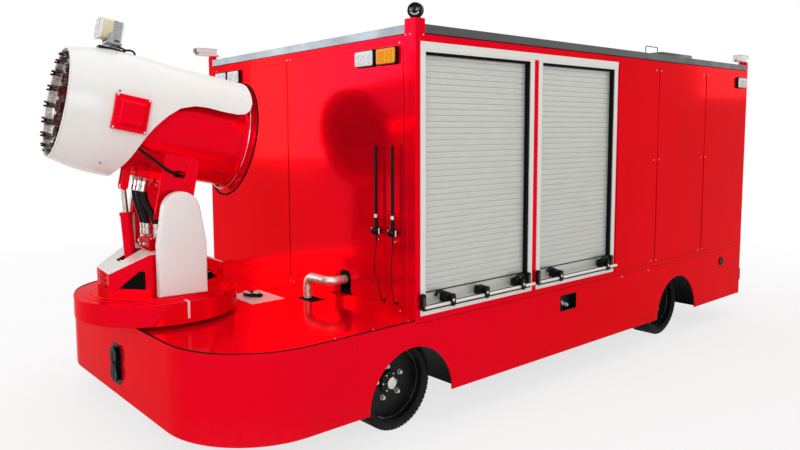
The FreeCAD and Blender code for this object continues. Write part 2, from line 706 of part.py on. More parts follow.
def base_solid(inset, top_drop, low):
    """Base housing's outer body moved in by inset, with its sloping top lowered by top_drop."""
    plan = [(-BASE_NOSE, -BASE_FRONT), (BASE_NOSE, -BASE_FRONT), (BASE_HALF, -BASE_SHOULDER),
            (BASE_HALF, BASE_SHOULDER), (BASE_NOSE, BASE_REAR), (-BASE_NOSE, BASE_REAR),
            (-BASE_HALF, BASE_SHOULDER), (-BASE_HALF, -BASE_SHOULDER)]
    if inset:
        plan = [(x - inset * math.copysign(1, x), y - inset * math.copysign(1, y)) for x, y in plan]
    side = [(-BASE_FRONT - 5, low), (-BASE_FRONT - 5, BASE_LOW - top_drop),
            (-BASE_FRONT, BASE_LOW - top_drop),
            (-BASE_SHOULDER, BASE_HIGH - top_drop), (BASE_SHOULDER, BASE_HIGH - top_drop),
            (BASE_REAR, BASE_LOW - top_drop), (BASE_REAR + 5, BASE_LOW - top_drop), (BASE_REAR + 5, low)]
    return prism(plan, "xy", low, BASE_HIGH + 10).common(prism(side, "yz", -400, 400))


BASE_BOTTOM = DRUM_TOP + 2 * RING_T


def yoke_bay():
    """Open bay between the front and rear housing, where the yoke stands."""
    return box(-400, 400, PIVOT_Y - YOKE_HALF - BAY_GAP, PIVOT_Y + YOKE_HALF + BAY_GAP, BASE_BOTTOM - 1, 1400)


def base_housing():
    """Red sheet housing: open below and above, with a triangular opening in each slanting side."""
    shell = base_solid(0, LID_T + LID_GAP, BASE_BOTTOM).cut(base_solid(SHEET, -20, BASE_BOTTOM - 1))
    window = [(-232, 758), (-116, 748), (-116, 838), (-140, 842)]
    rear_window = [(WINDOW_BACK - y, z) for y, z in window]
    holes = [prism(window, "yz", -400, 400), prism(rear_window, "yz", -400, 400)]
    return [on_turntable(half) for half in shell.cut(holes + [yoke_bay()]).Solids]


def top_covers():
    """White lids that follow the housing's slopes, the front one slotted for the cylinder."""
    lid = base_solid(0, 0, BASE_BOTTOM).cut(base_solid(-10, LID_T, BASE_BOTTOM - 1))
    slot = box(-SLOT_W / 2, SLOT_W / 2, SLOT_FROM, SLOT_TO, 700, 1000)
    return [on_turntable(solid) for solid in lid.cut([slot, yoke_bay()]).Solids]


def yoke():
    """Two posts with bearing bores, joined low down by a cross wall, and the valve shelf."""
    post = fuse(
        box(YOKE_X, YOKE_X + YOKE_T, PIVOT_Y - YOKE_HALF, PIVOT_Y + YOKE_HALF, BASE_BOTTOM, PIVOT_Z),
        cylinder(YOKE_HALF, (YOKE_X, PIVOT_Y, PIVOT_Z), (YOKE_X + YOKE_T, PIVOT_Y, PIVOT_Z)))
    foot = box(YOKE_X - 46, YOKE_X, PIVOT_Y - 60, PIVOT_Y + 60, BASE_BOTTOM, BASE_BOTTOM + 16)
    wall = box(-YOKE_X, YOKE_X, PIVOT_Y + 40, PIVOT_Y + 54, BASE_BOTTOM, 900)
    block = fuse(box(-66, 122, PIVOT_Y - YOKE_HALF + 10, PIVOT_Y + 50, BASE_BOTTOM, YOKE_BLOCK_TOP),
                 box(-66, 122, PIVOT_Y - 110, PIVOT_Y - 60, BASE_HIGH + BEARING_GAP, YOKE_BLOCK_TOP))
    bore = cylinder(TRUNNION_R + FIT, (-400, PIVOT_Y, PIVOT_Z), (400, PIVOT_Y, PIVOT_Z))
    return on_turntable(fuse(post, foot, mirrored(post), mirrored(foot), wall, block).cut(bore))


def side_cover():
    half_top = COVER_R - 4
    wire = loop([
        Vector(COVER_X, PIVOT_Y - COVER_HALF, BASE_BOTTOM),
        Vector(COVER_X, PIVOT_Y - COVER_HALF, COVER_TAPER_Z),
        Vector(COVER_X, PIVOT_Y - half_top, PIVOT_Z + 18),
        ("arc", Vector(COVER_X, PIVOT_Y, PIVOT_Z + COVER_R)),
        Vector(COVER_X, PIVOT_Y + half_top, PIVOT_Z + 18),
        Vector(COVER_X, PIVOT_Y + COVER_HALF, COVER_TAPER_Z),
        Vector(COVER_X, PIVOT_Y + COVER_HALF, BASE_BOTTOM),
    ])
    block = Part.Face(wire).extrude(Vector(COVER_OUT - COVER_X, 0, 0))
    inner = block.copy()
    middle = Vector(COVER_X, PIVOT_Y, (DRUM_TOP + PIVOT_Z) / 2)
    inner.translate(Vector(-COVER_T, 0, 0))
    scale = FreeCAD.Matrix()
    scale.move(-middle)
    scale.scale(Vector(1, 1 - COVER_T / COVER_HALF, 1 - 2 * COVER_T / (PIVOT_Z - DRUM_TOP)))
    scale.move(middle)
    return block.cut(inner.transformGeometry(scale))


def side_covers():
    return [on_turntable(cover) for cover in pair(side_cover())]


# ---- fan ------------------------------------------------------------------------------
def fan_housing():
    flare = BELL_R - DUCT_R
    start = FAN_REAR - 1.3 * flare
    nose = -FAN_NOSE + 40
    reducer = -FAN_NOSE + 160
    bend = (start + 0.86 * (FAN_REAR - start), DUCT_R + 0.36 * flare)
    inner_bend = (bend[0] - 0.7 * DUCT_T, bend[1] - 0.7 * DUCT_T)
    outer = [(nose, NOZZLE_DUCT_R), (reducer, DUCT_R), (start, DUCT_R), ("arc", bend), (FAN_REAR, BELL_R)]
    inner = [(FAN_REAR, BELL_R - DUCT_T), ("arc", inner_bend), (start, DUCT_R - DUCT_T),
             (reducer, DUCT_R - DUCT_T), (nose, NOZZLE_DUCT_R - DUCT_T)]
    duct = turned(outer + inner, FAN_RISE)
    return on_fan(fuse(duct, *shroud_ribs()))


def fan_shroud():
    """White skin round the front of the fan, swept up along its sides to a tail over the top."""
    inner = [(y, r - SHROUD_T) for y, r in reversed(SHROUD_LINE)]
    skin = turned(SHROUD_LINE + inner, FAN_RISE)
    edge = [(-306, -420), (-303, -290), (-270, -219), (-250, -161), (-227, -100), (-198, -48), (-170, -11),
            (-140, 24), (-87, 70), (-14, 98), (54, 105), (133, 102), (213, 105), (254, 116), (281, 140),
            (297, 182), (302, 231), (303, 330), (420, 330), (420, -420)]
    away = prism([(y, FAN_RISE + z) for y, z in edge], "yz", -420, 420)
    return on_fan(skin.cut(away))


def shroud_radius(y):
    """Outer radius of the shroud at a place along the fan."""
    for (y0, r0), (y1, r1) in zip(SHROUD_LINE, SHROUD_LINE[1:]):
        if y0 <= y <= y1:
            return r0 + (r1 - r0) * (y - y0) / (y1 - y0)
    return LIP_R


def shroud_ribs():
    """Rings on the duct that carry the skin: a whole one in front, an arch behind."""
    ribs = []
    for y, low in ((-330, -400), (-60, 140)):
        high = min(shroud_radius(y - 6), shroud_radius(y + 6)) - SHROUD_T - BEARING_GAP
        ring = turned([(y - 6, DUCT_R - 1), (y - 6, high), (y + 6, high), (y + 6, DUCT_R - 1)], FAN_RISE)
        ribs.append(ring.cut(box(-400, 400, y - 20, y + 20, 0, FAN_RISE + low)))
    return ribs


def nozzle_ring():
    """Steel pipe ring with short stubs for the mist nozzles, held by stays on the duct's mouth."""
    y = -FAN_NOSE + 6
    ring = Part.makeTorus(RING_PIPE_AT, RING_PIPE_R, Vector(0, y, FAN_RISE), Vector(0, 1, 0))
    parts = []
    for n in range(NOZZLES):
        angle = 2 * math.pi * n / NOZZLES
        c, s = math.cos(angle), math.sin(angle)
        x, z = RING_PIPE_AT * c, FAN_RISE + RING_PIPE_AT * s
        parts.append(cylinder(9, (x, y, z), (x, y - 44, z)))
        parts.append(cylinder(14, (x, y - 44, z), (x, y - 64, z)))
    stays = []
    for n in range(6):
        angle = 2 * math.pi * (n + 0) / 6
        c, s = math.cos(angle), math.sin(angle)
        at = NOZZLE_DUCT_R - DUCT_T - 7
        x, z = at * c, FAN_RISE + at * s
        stays.append(cylinder(6, (x, y + 4, z), (x, -FAN_NOSE + 52, z)))
    return on_fan(ring.fuse(parts + stays))


def fan_brackets():
    """Side plates from the duct down to the trunnions, their pins and a saddle under the duct."""
    solid = None
    for side in (-1, 1):
        near, far = side * BRACKET_X, side * (BRACKET_X + BRACKET_T)
        plate = box(min(near, far), max(near, far), BRACKET_FROM, BRACKET_TO, -60, FAN_RISE - 130)
        slot = fuse(cylinder(18, (-400, -22, SLOT_Z), (400, -22, SLOT_Z)),
                    cylinder(18, (-400, 4, SLOT_Z), (400, 4, SLOT_Z)),
                    box(-400, 400, -22, 4, SLOT_Z - 18, SLOT_Z + 18))
        plate = plate.cut(slot)
        pin_end = side * (YOKE_X + YOKE_T)
        pin = cylinder(TRUNNION_R, (far, 0, 0), (pin_end, 0, 0))
        both = fuse(plate, pin)
        solid = both if solid is None else fuse(solid, both)
    saddle = box(-BRACKET_X, BRACKET_X, BRACKET_FROM, SADDLE_TO,
                 FAN_RISE - DUCT_R - 62, FAN_RISE - DUCT_R - 46)
    webs = [box(-BRACKET_X, BRACKET_X, y - 5, y + 5, FAN_RISE - DUCT_R - 60, FAN_RISE - 150)
            for y in (BRACKET_FROM + 10, SADDLE_TO - 5)]
    solid = fuse(solid, saddle, *webs)
    hose_block = box(HOSE_STARTS[0][0] - 30, HOSE_STARTS[2][0] + 40, HOSE_STARTS[0][1] - 30,
                     BRACKET_FROM + 20, HOSE_BLOCK_Z, FAN_RISE - DUCT_R + 14)
    cable_end = CABLE_ROUTE[-1]
    terminal_box = box(50, cable_end[0], cable_end[1] - 26, SADDLE_TO, FAN_RISE - DUCT_R - 50, FAN_RISE - 220)
    solid = fuse(solid, hose_block, terminal_box)
    return solid.cut(cylinder(DUCT_R + BEARING_GAP, (0, -500, FAN_RISE), (0, 500, FAN_RISE)))


def lift_points():
    """Lower pin, upper pin and unit direction of the lift cylinder in the turntable's frame."""
    low = Vector(0, LIFT_Y, LIFT_Z)
    high = Vector(0, LIFT_EYE_Y, LIFT_EYE_Z)
    return low, high, (high - low).normalize()


def fan_brackets_with_eye():
    low, high, _ = lift_points()
    back = FreeCAD.Placement(Vector(0, 0, 0), FreeCAD.Rotation(Vector(1, 0, 0), FAN_TILT))
    eye = back.multVec(high - Vector(0, PIVOT_Y, PIVOT_Z))
    ears = []
    for side in (-1, 1):
        near, far = side * 17, side * 29
        ears.append(fuse(
            box(min(near, far), max(near, far), eye.y - EYE_R, eye.y + EYE_R, eye.z, FAN_RISE - DUCT_R + 20),
            cylinder(EYE_R, (min(near, far), eye.y, eye.z), (max(near, far), eye.y, eye.z))))
    heads = pair(cylinder(PIN_R, (24, eye.y, eye.z), (34, eye.y, eye.z)))
    trim = cylinder(DUCT_R + BEARING_GAP, (0, -500, FAN_RISE), (0, 500, FAN_RISE))
    return on_fan(fuse(fan_brackets(), *[ear.cut(trim) for ear in ears], *heads))


def lift_barrel():
    low, _, way = lift_points()
    tube = Part.makeCylinder(BARREL_R, BARREL_LEN, low + way * 38, way)
    neck = Part.makeCylinder(13, 42, low, way)
    bore = Part.makeCylinder(ROD_R + FIT, BARREL_LEN + 30, low + way * 50, way)
    eye = cylinder(EYE_R, (-16, low.y, low.z), (16, low.y, low.z))
    hole = cylinder(PIN_R + FIT, (-40, low.y, low.z), (40, low.y, low.z))
    return on_turntable(fuse(tube, neck, eye).cut([bore, hole]))


def lift_rod():
    low, high, way = lift_points()
    length = (high - low).Length
    rod = Part.makeCylinder(ROD_R, length - ROD_FROM - PIN_R, low + way * ROD_FROM, way)
    eye = cylinder(EYE_R - 2, (-12, high.y, high.z), (12, high.y, high.z))
    hole = cylinder(PIN_R + 0.5, (-40, high.y, high.z), (40, high.y, high.z))
    return on_turntable(fuse(rod, eye).cut(hole))


def lift_foot():
    """Clevis on the turntable that carries the cylinder's lower pin."""
    low, _, _ = lift_points()
    ears = []
    for side in (-1, 1):
        near, far = side * 19, side * 31
        ears.append(fuse(
            box(min(near, far), max(near, far), low.y - 30, low.y + 30, BASE_BOTTOM, low.z),
            cylinder(30, (min(near, far), low.y, low.z), (max(near, far), low.y, low.z))))
    base = box(-60, 60, low.y - 50, low.y + 50, BASE_BOTTOM, BASE_BOTTOM + 12)
    pin = cylinder(PIN_R, (-34, low.y, low.z), (34, low.y, low.z))
    return on_turntable(fuse(base, *ears, pin))


def fan_motor():
    """Motor pod behind the rotor with guide vanes out to the duct."""
    pod = turned([(MOTOR_FRONT, 0), (MOTOR_FRONT, MOTOR_R - 20), (MOTOR_FRONT + 20, MOTOR_R), (150, MOTOR_R),
                  (200, MOTOR_R - 40), (200, 0)], FAN_RISE)
    vanes = []
    for n in range(VANES):
        vane = box(-3, 3, 0, 120, MOTOR_R - 4, DUCT_R - DUCT_T)
        vane.translate(Vector(0, 0, FAN_RISE))
        vane.rotate(Vector(0, 0, FAN_RISE), Vector(0, 1, 0), 360 / VANES * n)
        vanes.append(vane)
    inside = cylinder(DUCT_R - DUCT_T - BEARING_GAP, (0, -500, FAN_RISE), (0, 250, FAN_RISE))
    return on_fan(pod.fuse(vanes).common(inside))


def fan_rotor():
    """Hub with twisted blades, ahead of the motor."""
    y = -120
    hub = turned([(y - 60, 0), (y - 52, 60), (y - 30, ROTOR_HUB_R), (y + 50, ROTOR_HUB_R), (y + 50, 0)],
                 FAN_RISE)
    blades = []
    for n in range(BLADES):
        blade = box(-4, 4, y - 42, y + 42, ROTOR_HUB_R - 12, DUCT_R - DUCT_T + 1)
        blade.rotate(Vector(0, y, 0), Vector(0, 0, 1), 38)
        blade.translate(Vector(0, 0, FAN_RISE))
        blade.rotate(Vector(0, 0, FAN_RISE), Vector(0, 1, 0), 360 / BLADES * n)
        blades.append(blade)
    sweep = cylinder(DUCT_R - DUCT_T - ROTOR_GAP, (0, y - 80, FAN_RISE), (0, y + 54.7, FAN_RISE))
    boss = cylinder(30, (0, y + 40, FAN_RISE), (0, MOTOR_FRONT - BEARING_GAP, FAN_RISE))
    return on_fan(hub.fuse(blades).common(sweep).fuse(boss))


def side_boxes():
    """Raised square covers on both sides of the shroud."""
    covers = []
    for side in (-1, 1):
        near, far = side * (SHROUD_R - 8), side * (SHROUD_R + 22)
        block = box(min(near, far), max(near, far), -400, -240, FAN_RISE - 90, FAN_RISE + 74)
        shroud = cylinder(SHROUD_R + BEARING_GAP, (0, -600, FAN_RISE), (0, 0, FAN_RISE))
        covers.append(on_fan(block.cut(shroud)))
    return covers


def work_lamp():
    """Camera lamp on a swivel foot on top of the shroud."""
    z = FAN_RISE + SHROUD_R
    seat = shroud_radius(-310) + BEARING_GAP
    foot = cylinder(40, (0, -352, z - 6), (0, -352, z + 14)).cut(
        cylinder(seat, (0, -600, FAN_RISE), (0, 0, FAN_RISE)))
    stem = box(-14, 14, -400, -345, z + 10, z + 52)
    fork = box(-52, 52, -424, -376, z + 48, z + 58)
    body = box(-58, 58, -470, -350, z + 58, z + 176)
    return on_fan(fuse(foot, stem, fork, body))


def fan_point(x, y, z):
    """Place in the turntable's frame of a point given in the level fan's frame."""
    tilt = FreeCAD.Placement(Vector(0, PIVOT_Y, PIVOT_Z), FreeCAD.Rotation(Vector(1, 0, 0), -FAN_TILT))
    return tilt.multVec(Vector(x, y, z))


def hose(start, steps):
    """Hydraulic hose from the manifold under the duct, by its steps down to the valve block."""
    points = [fan_point(*start, HOSE_BLOCK_Z - BEARING_GAP)]
    for dx, dy, dz in steps:
        points.append(points[-1] + Vector(dx, dy, dz))
    points[-1].z = YOKE_BLOCK_TOP
    return on_turntable(route_tube(points, HOSE_R))


def left_hose():
    return hose(HOSE_STARTS[2], [(0, -9.3, -44.9), (1, 0, -45.9), (7, 9, -44.5), (13.5, 17, -40.5),
                                 (12.5, 16, -41.2), (6.5, 8, -44.7), (0, 0, -46)])


def middle_hose():
    return hose(HOSE_STARTS[1], [(0, -9.1, -43.9), (1, 0, -44.8), (3, 6.5, -44.2), (5.5, 12, -42.8),
                                 (5, 11.5, -43.1), (2, 5.5, -44.4), (0, 0, -45)])


def right_hose():
    return hose(HOSE_STARTS[0], [(0, -9.1, -43.9), (1, 0, -44.8), (2.5, 6.5, -44.2), (4.5, 12.5, -42.7),
                                 (3.5, 12, -43), (1.5, 5.5, -44.5), (0, 0, -45)])


def fan_cable():
    """Motor cable from behind the shroud to the slot in the left bracket plate."""
    return on_fan(route_tube([(x, y, FAN_RISE + z) for x, y, z in CABLE_ROUTE], CABLE_R))


def save(name, solids):
    if not isinstance(solids, list):
        solids = [solids]
    flat = [solid for shape in solids for solid in shape.Solids]
    shape = flat[0] if len(flat) == 1 else Part.makeCompound(flat)
    shape.exportStep("parts/" + name + ".step")


def main():
    os.makedirs("parts", exist_ok=True)
    save("front_skirt", front_skirt())
    save("left_skirt", left_skirt())
    save("right_skirt", mirrored(side_skirt()))
    save("rear_skirt", rear_skirt())
    save("deck_plate", deck_plate())
    save("body_floor", body_floor())
    save("frame_rails", frame_rails())
    save("cross_members", cross_members())
    save("front_wall", front_wall())
    save("rear_wall", rear_wall())
    save("left_wall", side_wall())
    save("right_wall", mirrored(side_wall()))
    save("corner_posts", corner_posts())
    save("roof_trim", roof_trim())
    save("roof_panel", roof_panel())
    save("shutter_frames", shutter_frames())
    save("shutters", shutters())
    save("shutter_bars", shutter_bars())
    save("power_pack", power_pack())
    save("signal_lamps", signal_lamps())
    save("corner_cameras", corner_cameras())
    save("aerials", aerials() + grommets())
    save("aerial_lead_inner", aerial_lead(AERIAL_XS[0], GROMMET_XS[0], 10))
    save("aerial_lead_outer", aerial_lead(AERIAL_XS[1], GROMMET_XS[1], 6))
    save("water_pipe", water_pipe())
    save("tow_hitches", tow_hitches())
    save("front_axle", front_axle())
    save("rear_axle", rear_axle())
    save("leaf_springs", leaf_springs())
    save("left_knuckle", left_knuckle())
    save("right_knuckle", mirrored(left_knuckle()))
    save("track_rod", track_rod())
    for name, side, y in (("front_left", 1, FRONT_AXLE_Y), ("front_right", -1, FRONT_AXLE_Y),
                          ("rear_left", 1, REAR_AXLE_Y), ("rear_right", -1, REAR_AXLE_Y)):
        save("tyre_" + name, tyre(side * WHEEL_X, y))
        save("rim_" + name, rim(side * WHEEL_X, y))
    save("slew_ring", slew_ring())
    save("turntable_drum", turntable_drum())
    save("base_housing", base_housing())
    save("top_covers", top_covers())
    save("side_covers", side_covers())
    save("yoke", fuse(yoke(), lift_foot()))
    save("lift_barrel", lift_barrel())
    save("lift_rod", lift_rod())
    save("fan_housing", fan_housing())
    save("fan_shroud", fan_shroud())
    save("nozzle_ring", nozzle_ring())
    save("fan_brackets", fan_brackets_with_eye())
    save("fan_motor", fan_motor())
    save("fan_rotor", fan_rotor())
    save("side_boxes", side_boxes())
    save("work_lamp", work_lamp())
    save("left_hose", left_hose())
    save("middle_hose", middle_hose())
    save("right_hose", right_hose())
    save("fan_cable", fan_cable())


main()
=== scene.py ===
import json
import math

import bmesh
import bpy
from bpy.props import FloatProperty, FloatVectorProperty, IntProperty, PointerProperty
from mathutils import Matrix, Vector

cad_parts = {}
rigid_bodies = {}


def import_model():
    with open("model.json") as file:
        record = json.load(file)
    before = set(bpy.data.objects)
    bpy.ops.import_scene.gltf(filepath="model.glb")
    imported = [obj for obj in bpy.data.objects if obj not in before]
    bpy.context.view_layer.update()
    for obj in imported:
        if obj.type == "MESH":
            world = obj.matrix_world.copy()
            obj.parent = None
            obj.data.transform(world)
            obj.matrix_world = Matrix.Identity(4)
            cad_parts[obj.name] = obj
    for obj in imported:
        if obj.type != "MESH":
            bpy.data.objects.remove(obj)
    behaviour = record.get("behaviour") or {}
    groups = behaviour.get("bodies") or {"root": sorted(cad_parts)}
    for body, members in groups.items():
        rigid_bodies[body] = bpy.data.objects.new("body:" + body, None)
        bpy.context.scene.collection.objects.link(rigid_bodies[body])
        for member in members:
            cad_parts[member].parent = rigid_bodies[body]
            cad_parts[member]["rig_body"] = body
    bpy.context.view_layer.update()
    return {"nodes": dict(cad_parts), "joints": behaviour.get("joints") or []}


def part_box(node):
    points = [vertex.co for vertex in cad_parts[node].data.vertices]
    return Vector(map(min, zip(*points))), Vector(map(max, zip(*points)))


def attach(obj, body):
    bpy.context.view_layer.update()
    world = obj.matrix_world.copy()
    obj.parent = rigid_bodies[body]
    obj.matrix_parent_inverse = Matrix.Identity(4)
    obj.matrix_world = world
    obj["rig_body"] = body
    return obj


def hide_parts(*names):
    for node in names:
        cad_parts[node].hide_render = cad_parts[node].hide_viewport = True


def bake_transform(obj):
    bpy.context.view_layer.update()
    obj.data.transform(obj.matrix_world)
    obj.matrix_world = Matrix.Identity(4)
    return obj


bl_info = {
    "name": "Firefighting Robot Finish",
    "version": (1, 0, 0),
    "blender": (4, 5, 0),
    "location": "View3D > Sidebar > Robot",
    "description": "Paint, shutters, lamps, hoses and small parts of a wheeled firefighting robot with a front fan",
    "category": "Object",
}

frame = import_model()


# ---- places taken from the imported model, in metres ------------------------------------
def joint(name):
    return next(entry for entry in frame["joints"] if entry["name"] == name)


def frame_of(*columns):
    """Matrix of three axes and an origin."""
    return Matrix([(*column, n == 3) for n, column in enumerate(columns)]).transposed()


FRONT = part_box("front_skirt")[0].y
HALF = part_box("left_skirt")[1].x
SKIRT_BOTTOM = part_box("front_skirt")[0].z
DECK_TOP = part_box("deck_plate")[1].z
WALL_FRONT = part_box("front_wall")[0].y
WALL_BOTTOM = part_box("front_wall")[0].z
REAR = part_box("rear_skirt")[1].y
TRIM_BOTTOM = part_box("roof_trim")[0].z
ROOF_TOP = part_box("roof_trim")[1].z
POST_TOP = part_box("corner_posts")[1].z

UP = Vector((0, 0, 1))
SIDEWAYS = -Vector(joint("fan_tilt")["axis"])
BACK = -Vector(joint("rotor_spin")["axis"])
FAN_UP = SIDEWAYS.cross(BACK).normalized()
TILT_PIN = Vector(joint("fan_tilt")["pos_m"])
FAN_RISE = (Vector(joint("rotor_spin")["pos_m"]) - TILT_PIN).dot(FAN_UP)
# fan's own frame: x to its left, y towards its bell, z up, on the fan's axis above the tilt pin
FAN = frame_of(SIDEWAYS, BACK, FAN_UP, TILT_PIN + FAN_UP * FAN_RISE)
FAN_AXIS = FAN @ Matrix.Rotation(-math.pi / 2, 4, "X")      # the same place with its z along the fan's axis
# turntable's own frame: the same way round, upright, on the turntable's axis at the ground
SLEW = Vector(joint("turntable_slew")["pos_m"])
TURN = frame_of(SIDEWAYS, Vector((-SIDEWAYS.y, SIDEWAYS.x, 0)), UP, Vector((SLEW.x, SLEW.y, 0)))
PIVOT = TURN.inverted() @ TILT_PIN


def linear(code):
    """Linear colour of an sRGB hex value."""
    parts = [int(code[n:n + 2], 16) / 255 for n in (1, 3, 5)]
    return tuple(c / 12.92 if c <= 0.04045 else ((c + 0.055) / 1.055) ** 2.4 for c in parts)


def colour(name, description, code):
    return FloatVectorProperty(name=name, description=description, subtype="COLOR", size=3, min=0, max=1,
                               default=linear(code))


def length(name, description, default):
    return FloatProperty(name=name, description=description, default=default, min=0, unit="LENGTH",
                         subtype="DISTANCE")


def angle(name, description, degrees):
    return FloatProperty(name=name, description=description, default=math.radians(degrees), subtype="ANGLE")


def count(name, description, default, low, high):
    return IntProperty(name=name, description=description, default=default, min=low, max=high)


# ---- what a user would change ------------------------------------------------------------
class RobotPaint(bpy.types.PropertyGroup):
    body: colour("Body", "Gloss enamel of the chassis, body and turntable", "#E80520")
    covers: colour("Covers", "Gloss enamel of the fan's skin and the turntable's covers", "#E4E3DF")
    chassis: colour("Chassis", "Paint of the axles, rails and wheels", "#0B0B0C")
    slats: colour("Slats", "Anodised aluminium of the roller shutters", "#CBCCC5")
    frames: colour("Frames", "Anodised aluminium of the shutter frames", "#E3E2DD")
    trim: colour("Trim", "Anodised aluminium of the roof's edge", "#484B49")
    amber: colour("Amber", "Lens of the amber lamps", "#FF9A00")


class RobotBody(bpy.types.PropertyGroup):
    strip: length("Strip", "Width of the frame strip that shows between two wall panels", 0.040)
    panel: length("Panel", "How far a wall panel stands proud of the frame", 0.004)
    slat: length("Slat", "Pitch of the shutter slats", 0.030)
    bulge: length("Bulge", "How far a slat bows outwards", 0.0018)
    rail: length("Rail", "Height of the plain bottom rail of a shutter", 0.063)
    rivet: length("Rivet", "Radius of a rivet's head", 0.0042)


class RobotWheels(bpy.types.PropertyGroup):
    nuts: count("Nuts", "Wheel nuts on each rim", 5, 3, 10)
    nut_circle: length("Nut circle", "Radius of the circle of wheel nuts", 0.085)
    blocks: count("Tread blocks", "Blocks round each row of the tread", 60, 12, 120)
    groove: length("Groove", "Depth of the tread's grooves", 0.007)


class RobotFan(bpy.types.PropertyGroup):
    nozzles: count("Nozzles", "Mist nozzles round the fan's mouth", 18, 6, 36)
    nozzle_circle: length("Nozzle circle", "Radius of the nozzles' circle", 0.236)
    band: length("Band", "Width of the steel band that carries the nozzles", 0.030)
    skin: length("Skin", "Thickness of the rolled lip round the white skin", 0.009)


class RobotView(bpy.types.PropertyGroup):
    place: FloatVectorProperty(name="Place", description="Camera's place", subtype="TRANSLATION", unit="LENGTH",
                               default=(3.5005, -3.4739, 1.5017))
    azimuth: angle("Azimuth", "Turn of the view, from along +Y towards -X", 50.84)
    down: angle("Down", "How far the camera looks down", 5.31)
    roll: angle("Roll", "Turn about the line of sight", -0.47)
    lens: FloatProperty(name="Lens", description="Focal length", subtype="DISTANCE_CAMERA", default=31.58, min=1)
    shift: FloatVectorProperty(name="Shift", description="Shift of the picture", size=2, default=(0.05, -0.03125))


# ---- shader nodes --------------------------------------------------------------------------
def add(tree, kind, inputs, **settings):
    """New shader node with its settings, and its inputs set to a value or linked to a socket."""
    made = tree.nodes.new(kind)
    for key, value in settings.items():
        setattr(made, key, value)
    for key, value in inputs.items():
        if isinstance(value, bpy.types.NodeSocket):
            tree.links.new(value, made.inputs[key])
        else:
            made.inputs[key].default_value = value
    return made


def start(slot, **surface):
    """New material with its Principled shader and Object coordinates; slot is the record's own."""
    material = bpy.data.materials.new("finish")
    material.use_nodes = True
    material["slot"] = slot
    tree = material.node_tree
    shader = tree.nodes["Principled BSDF"]
    for key, value in surface.items():
        shader.inputs[key.replace("_", " ")].default_value = value
    return material, tree, shader, add(tree, "ShaderNodeTexCoord", {}).outputs["Object"]


def grain(tree, where, millimetres, detail=2.0, stretch=(1, 1, 1)):
    """Noise whose lumps are about that many millimetres across, drawn out along an axis."""
    spot = add(tree, "ShaderNodeMapping", {"Vector": where, "Scale": stretch}).outputs["Vector"]
    return add(tree, "ShaderNodeTexNoise", {"Vector": spot, "Scale": 1000 / millimetres,
                                            "Detail": detail}).outputs["Fac"]


def spread(tree, value, low, high, from_low=0.3, from_high=0.7):
    """Value remapped to run from low to high."""
    return add(tree, "ShaderNodeMapRange", {"Value": value, "From Min": from_low, "From Max": from_high,
                                            "To Min": low, "To Max": high}).outputs["Result"]


def tint(tree, value, colours):
    """Colour that runs from the first to the second as the value goes from 0 to 1."""
    # the colour sockets of a Mix node share their names with its number sockets, so they go by place
    first, second = ((*(linear(c) if isinstance(c, str) else c), 1) for c in colours)
    return add(tree, "ShaderNodeMix", {0: value, 6: first, 7: second}, data_type="RGBA").outputs[2]


def relief(tree, shader, height, millimetres, strength):
    bump = add(tree, "ShaderNodeBump", {"Height": height, "Distance": millimetres / 1000, "Strength": strength})
    tree.links.new(bump.outputs["Normal"], shader.inputs["Normal"])


def shades(c, *factors):
    return [tuple(min(1.0, part * factor) for part in c) for factor in factors]


def paint(name):
    return tuple(getattr(bpy.context.scene.robot_paint, name))


def coated(slot, colours, cloud, rough=None, bump=None, share=(0, 1), **surface):
    """Material whose colour follows a noise: rough is a noise and its range of roughness, and bump is a noise (the
    colour's own if None), its height in millimetres and its strength."""
    material, tree, shader, where = start(slot, **surface)
    noise = grain(tree, where, *cloud)
    tree.links.new(tint(tree, spread(tree, noise, *share), colours), shader.inputs["Base Color"])
    if rough:
        tree.links.new(spread(tree, grain(tree, where, *rough[:2]), *rough[2:]), shader.inputs["Roughness"])
    if bump:
        relief(tree, shader, grain(tree, where, *bump[0]) if bump[0] else noise, *bump[1:])
    return material


# ---- materials ---------------------------------------------------------------------------
def enamel(slot, c, rough, gleam, depth, ior):
    """Two-pack enamel on sheet steel: a deep gloss that mirrors in the paint's own colour, a faint orange peel
    and a trace of road dust low down."""
    material, tree, shader, where = start(slot, IOR=ior, Specular_Tint=(*gleam, 1), Metallic=depth,
                                          Coat_Weight=0.03, Coat_Roughness=0.03, Coat_IOR=1.4)
    painted = tint(tree, spread(tree, grain(tree, where, 900, 3), 0, 1), shades(c, 0.94, 1.05))
    height = add(tree, "ShaderNodeSeparateXYZ", {"Vector": where}).outputs["Z"]
    low = spread(tree, height, 1, 0, SKIRT_BOTTOM, SKIRT_BOTTOM + 0.14)
    speckle = spread(tree, grain(tree, where, 14, 6), 0, 0.06, 0.4, 0.7)
    dust = add(tree, "ShaderNodeMath", {0: low, 1: speckle}, operation="MULTIPLY").outputs[0]
    mixed = add(tree, "ShaderNodeMix", {0: dust, 6: painted, 7: (*linear("#7A6A5C"), 1)}, data_type="RGBA")
    tree.links.new(mixed.outputs[2], shader.inputs["Base Color"])
    haze = spread(tree, grain(tree, where, 120, 4), rough * 0.9, rough * 1.15)
    tree.links.new(haze, shader.inputs["Roughness"])
    relief(tree, shader, grain(tree, where, 7, 1), 0.05, 0.2)
    return material


def red_enamel():
    return enamel("red_paint", paint("body"), 0.13, (1, 0.12, 0.15), 0.5, 1.07)


def white_enamel():
    return enamel("white_paint", paint("covers"), 0.24, (1, 1, 1), 0, 1.42)


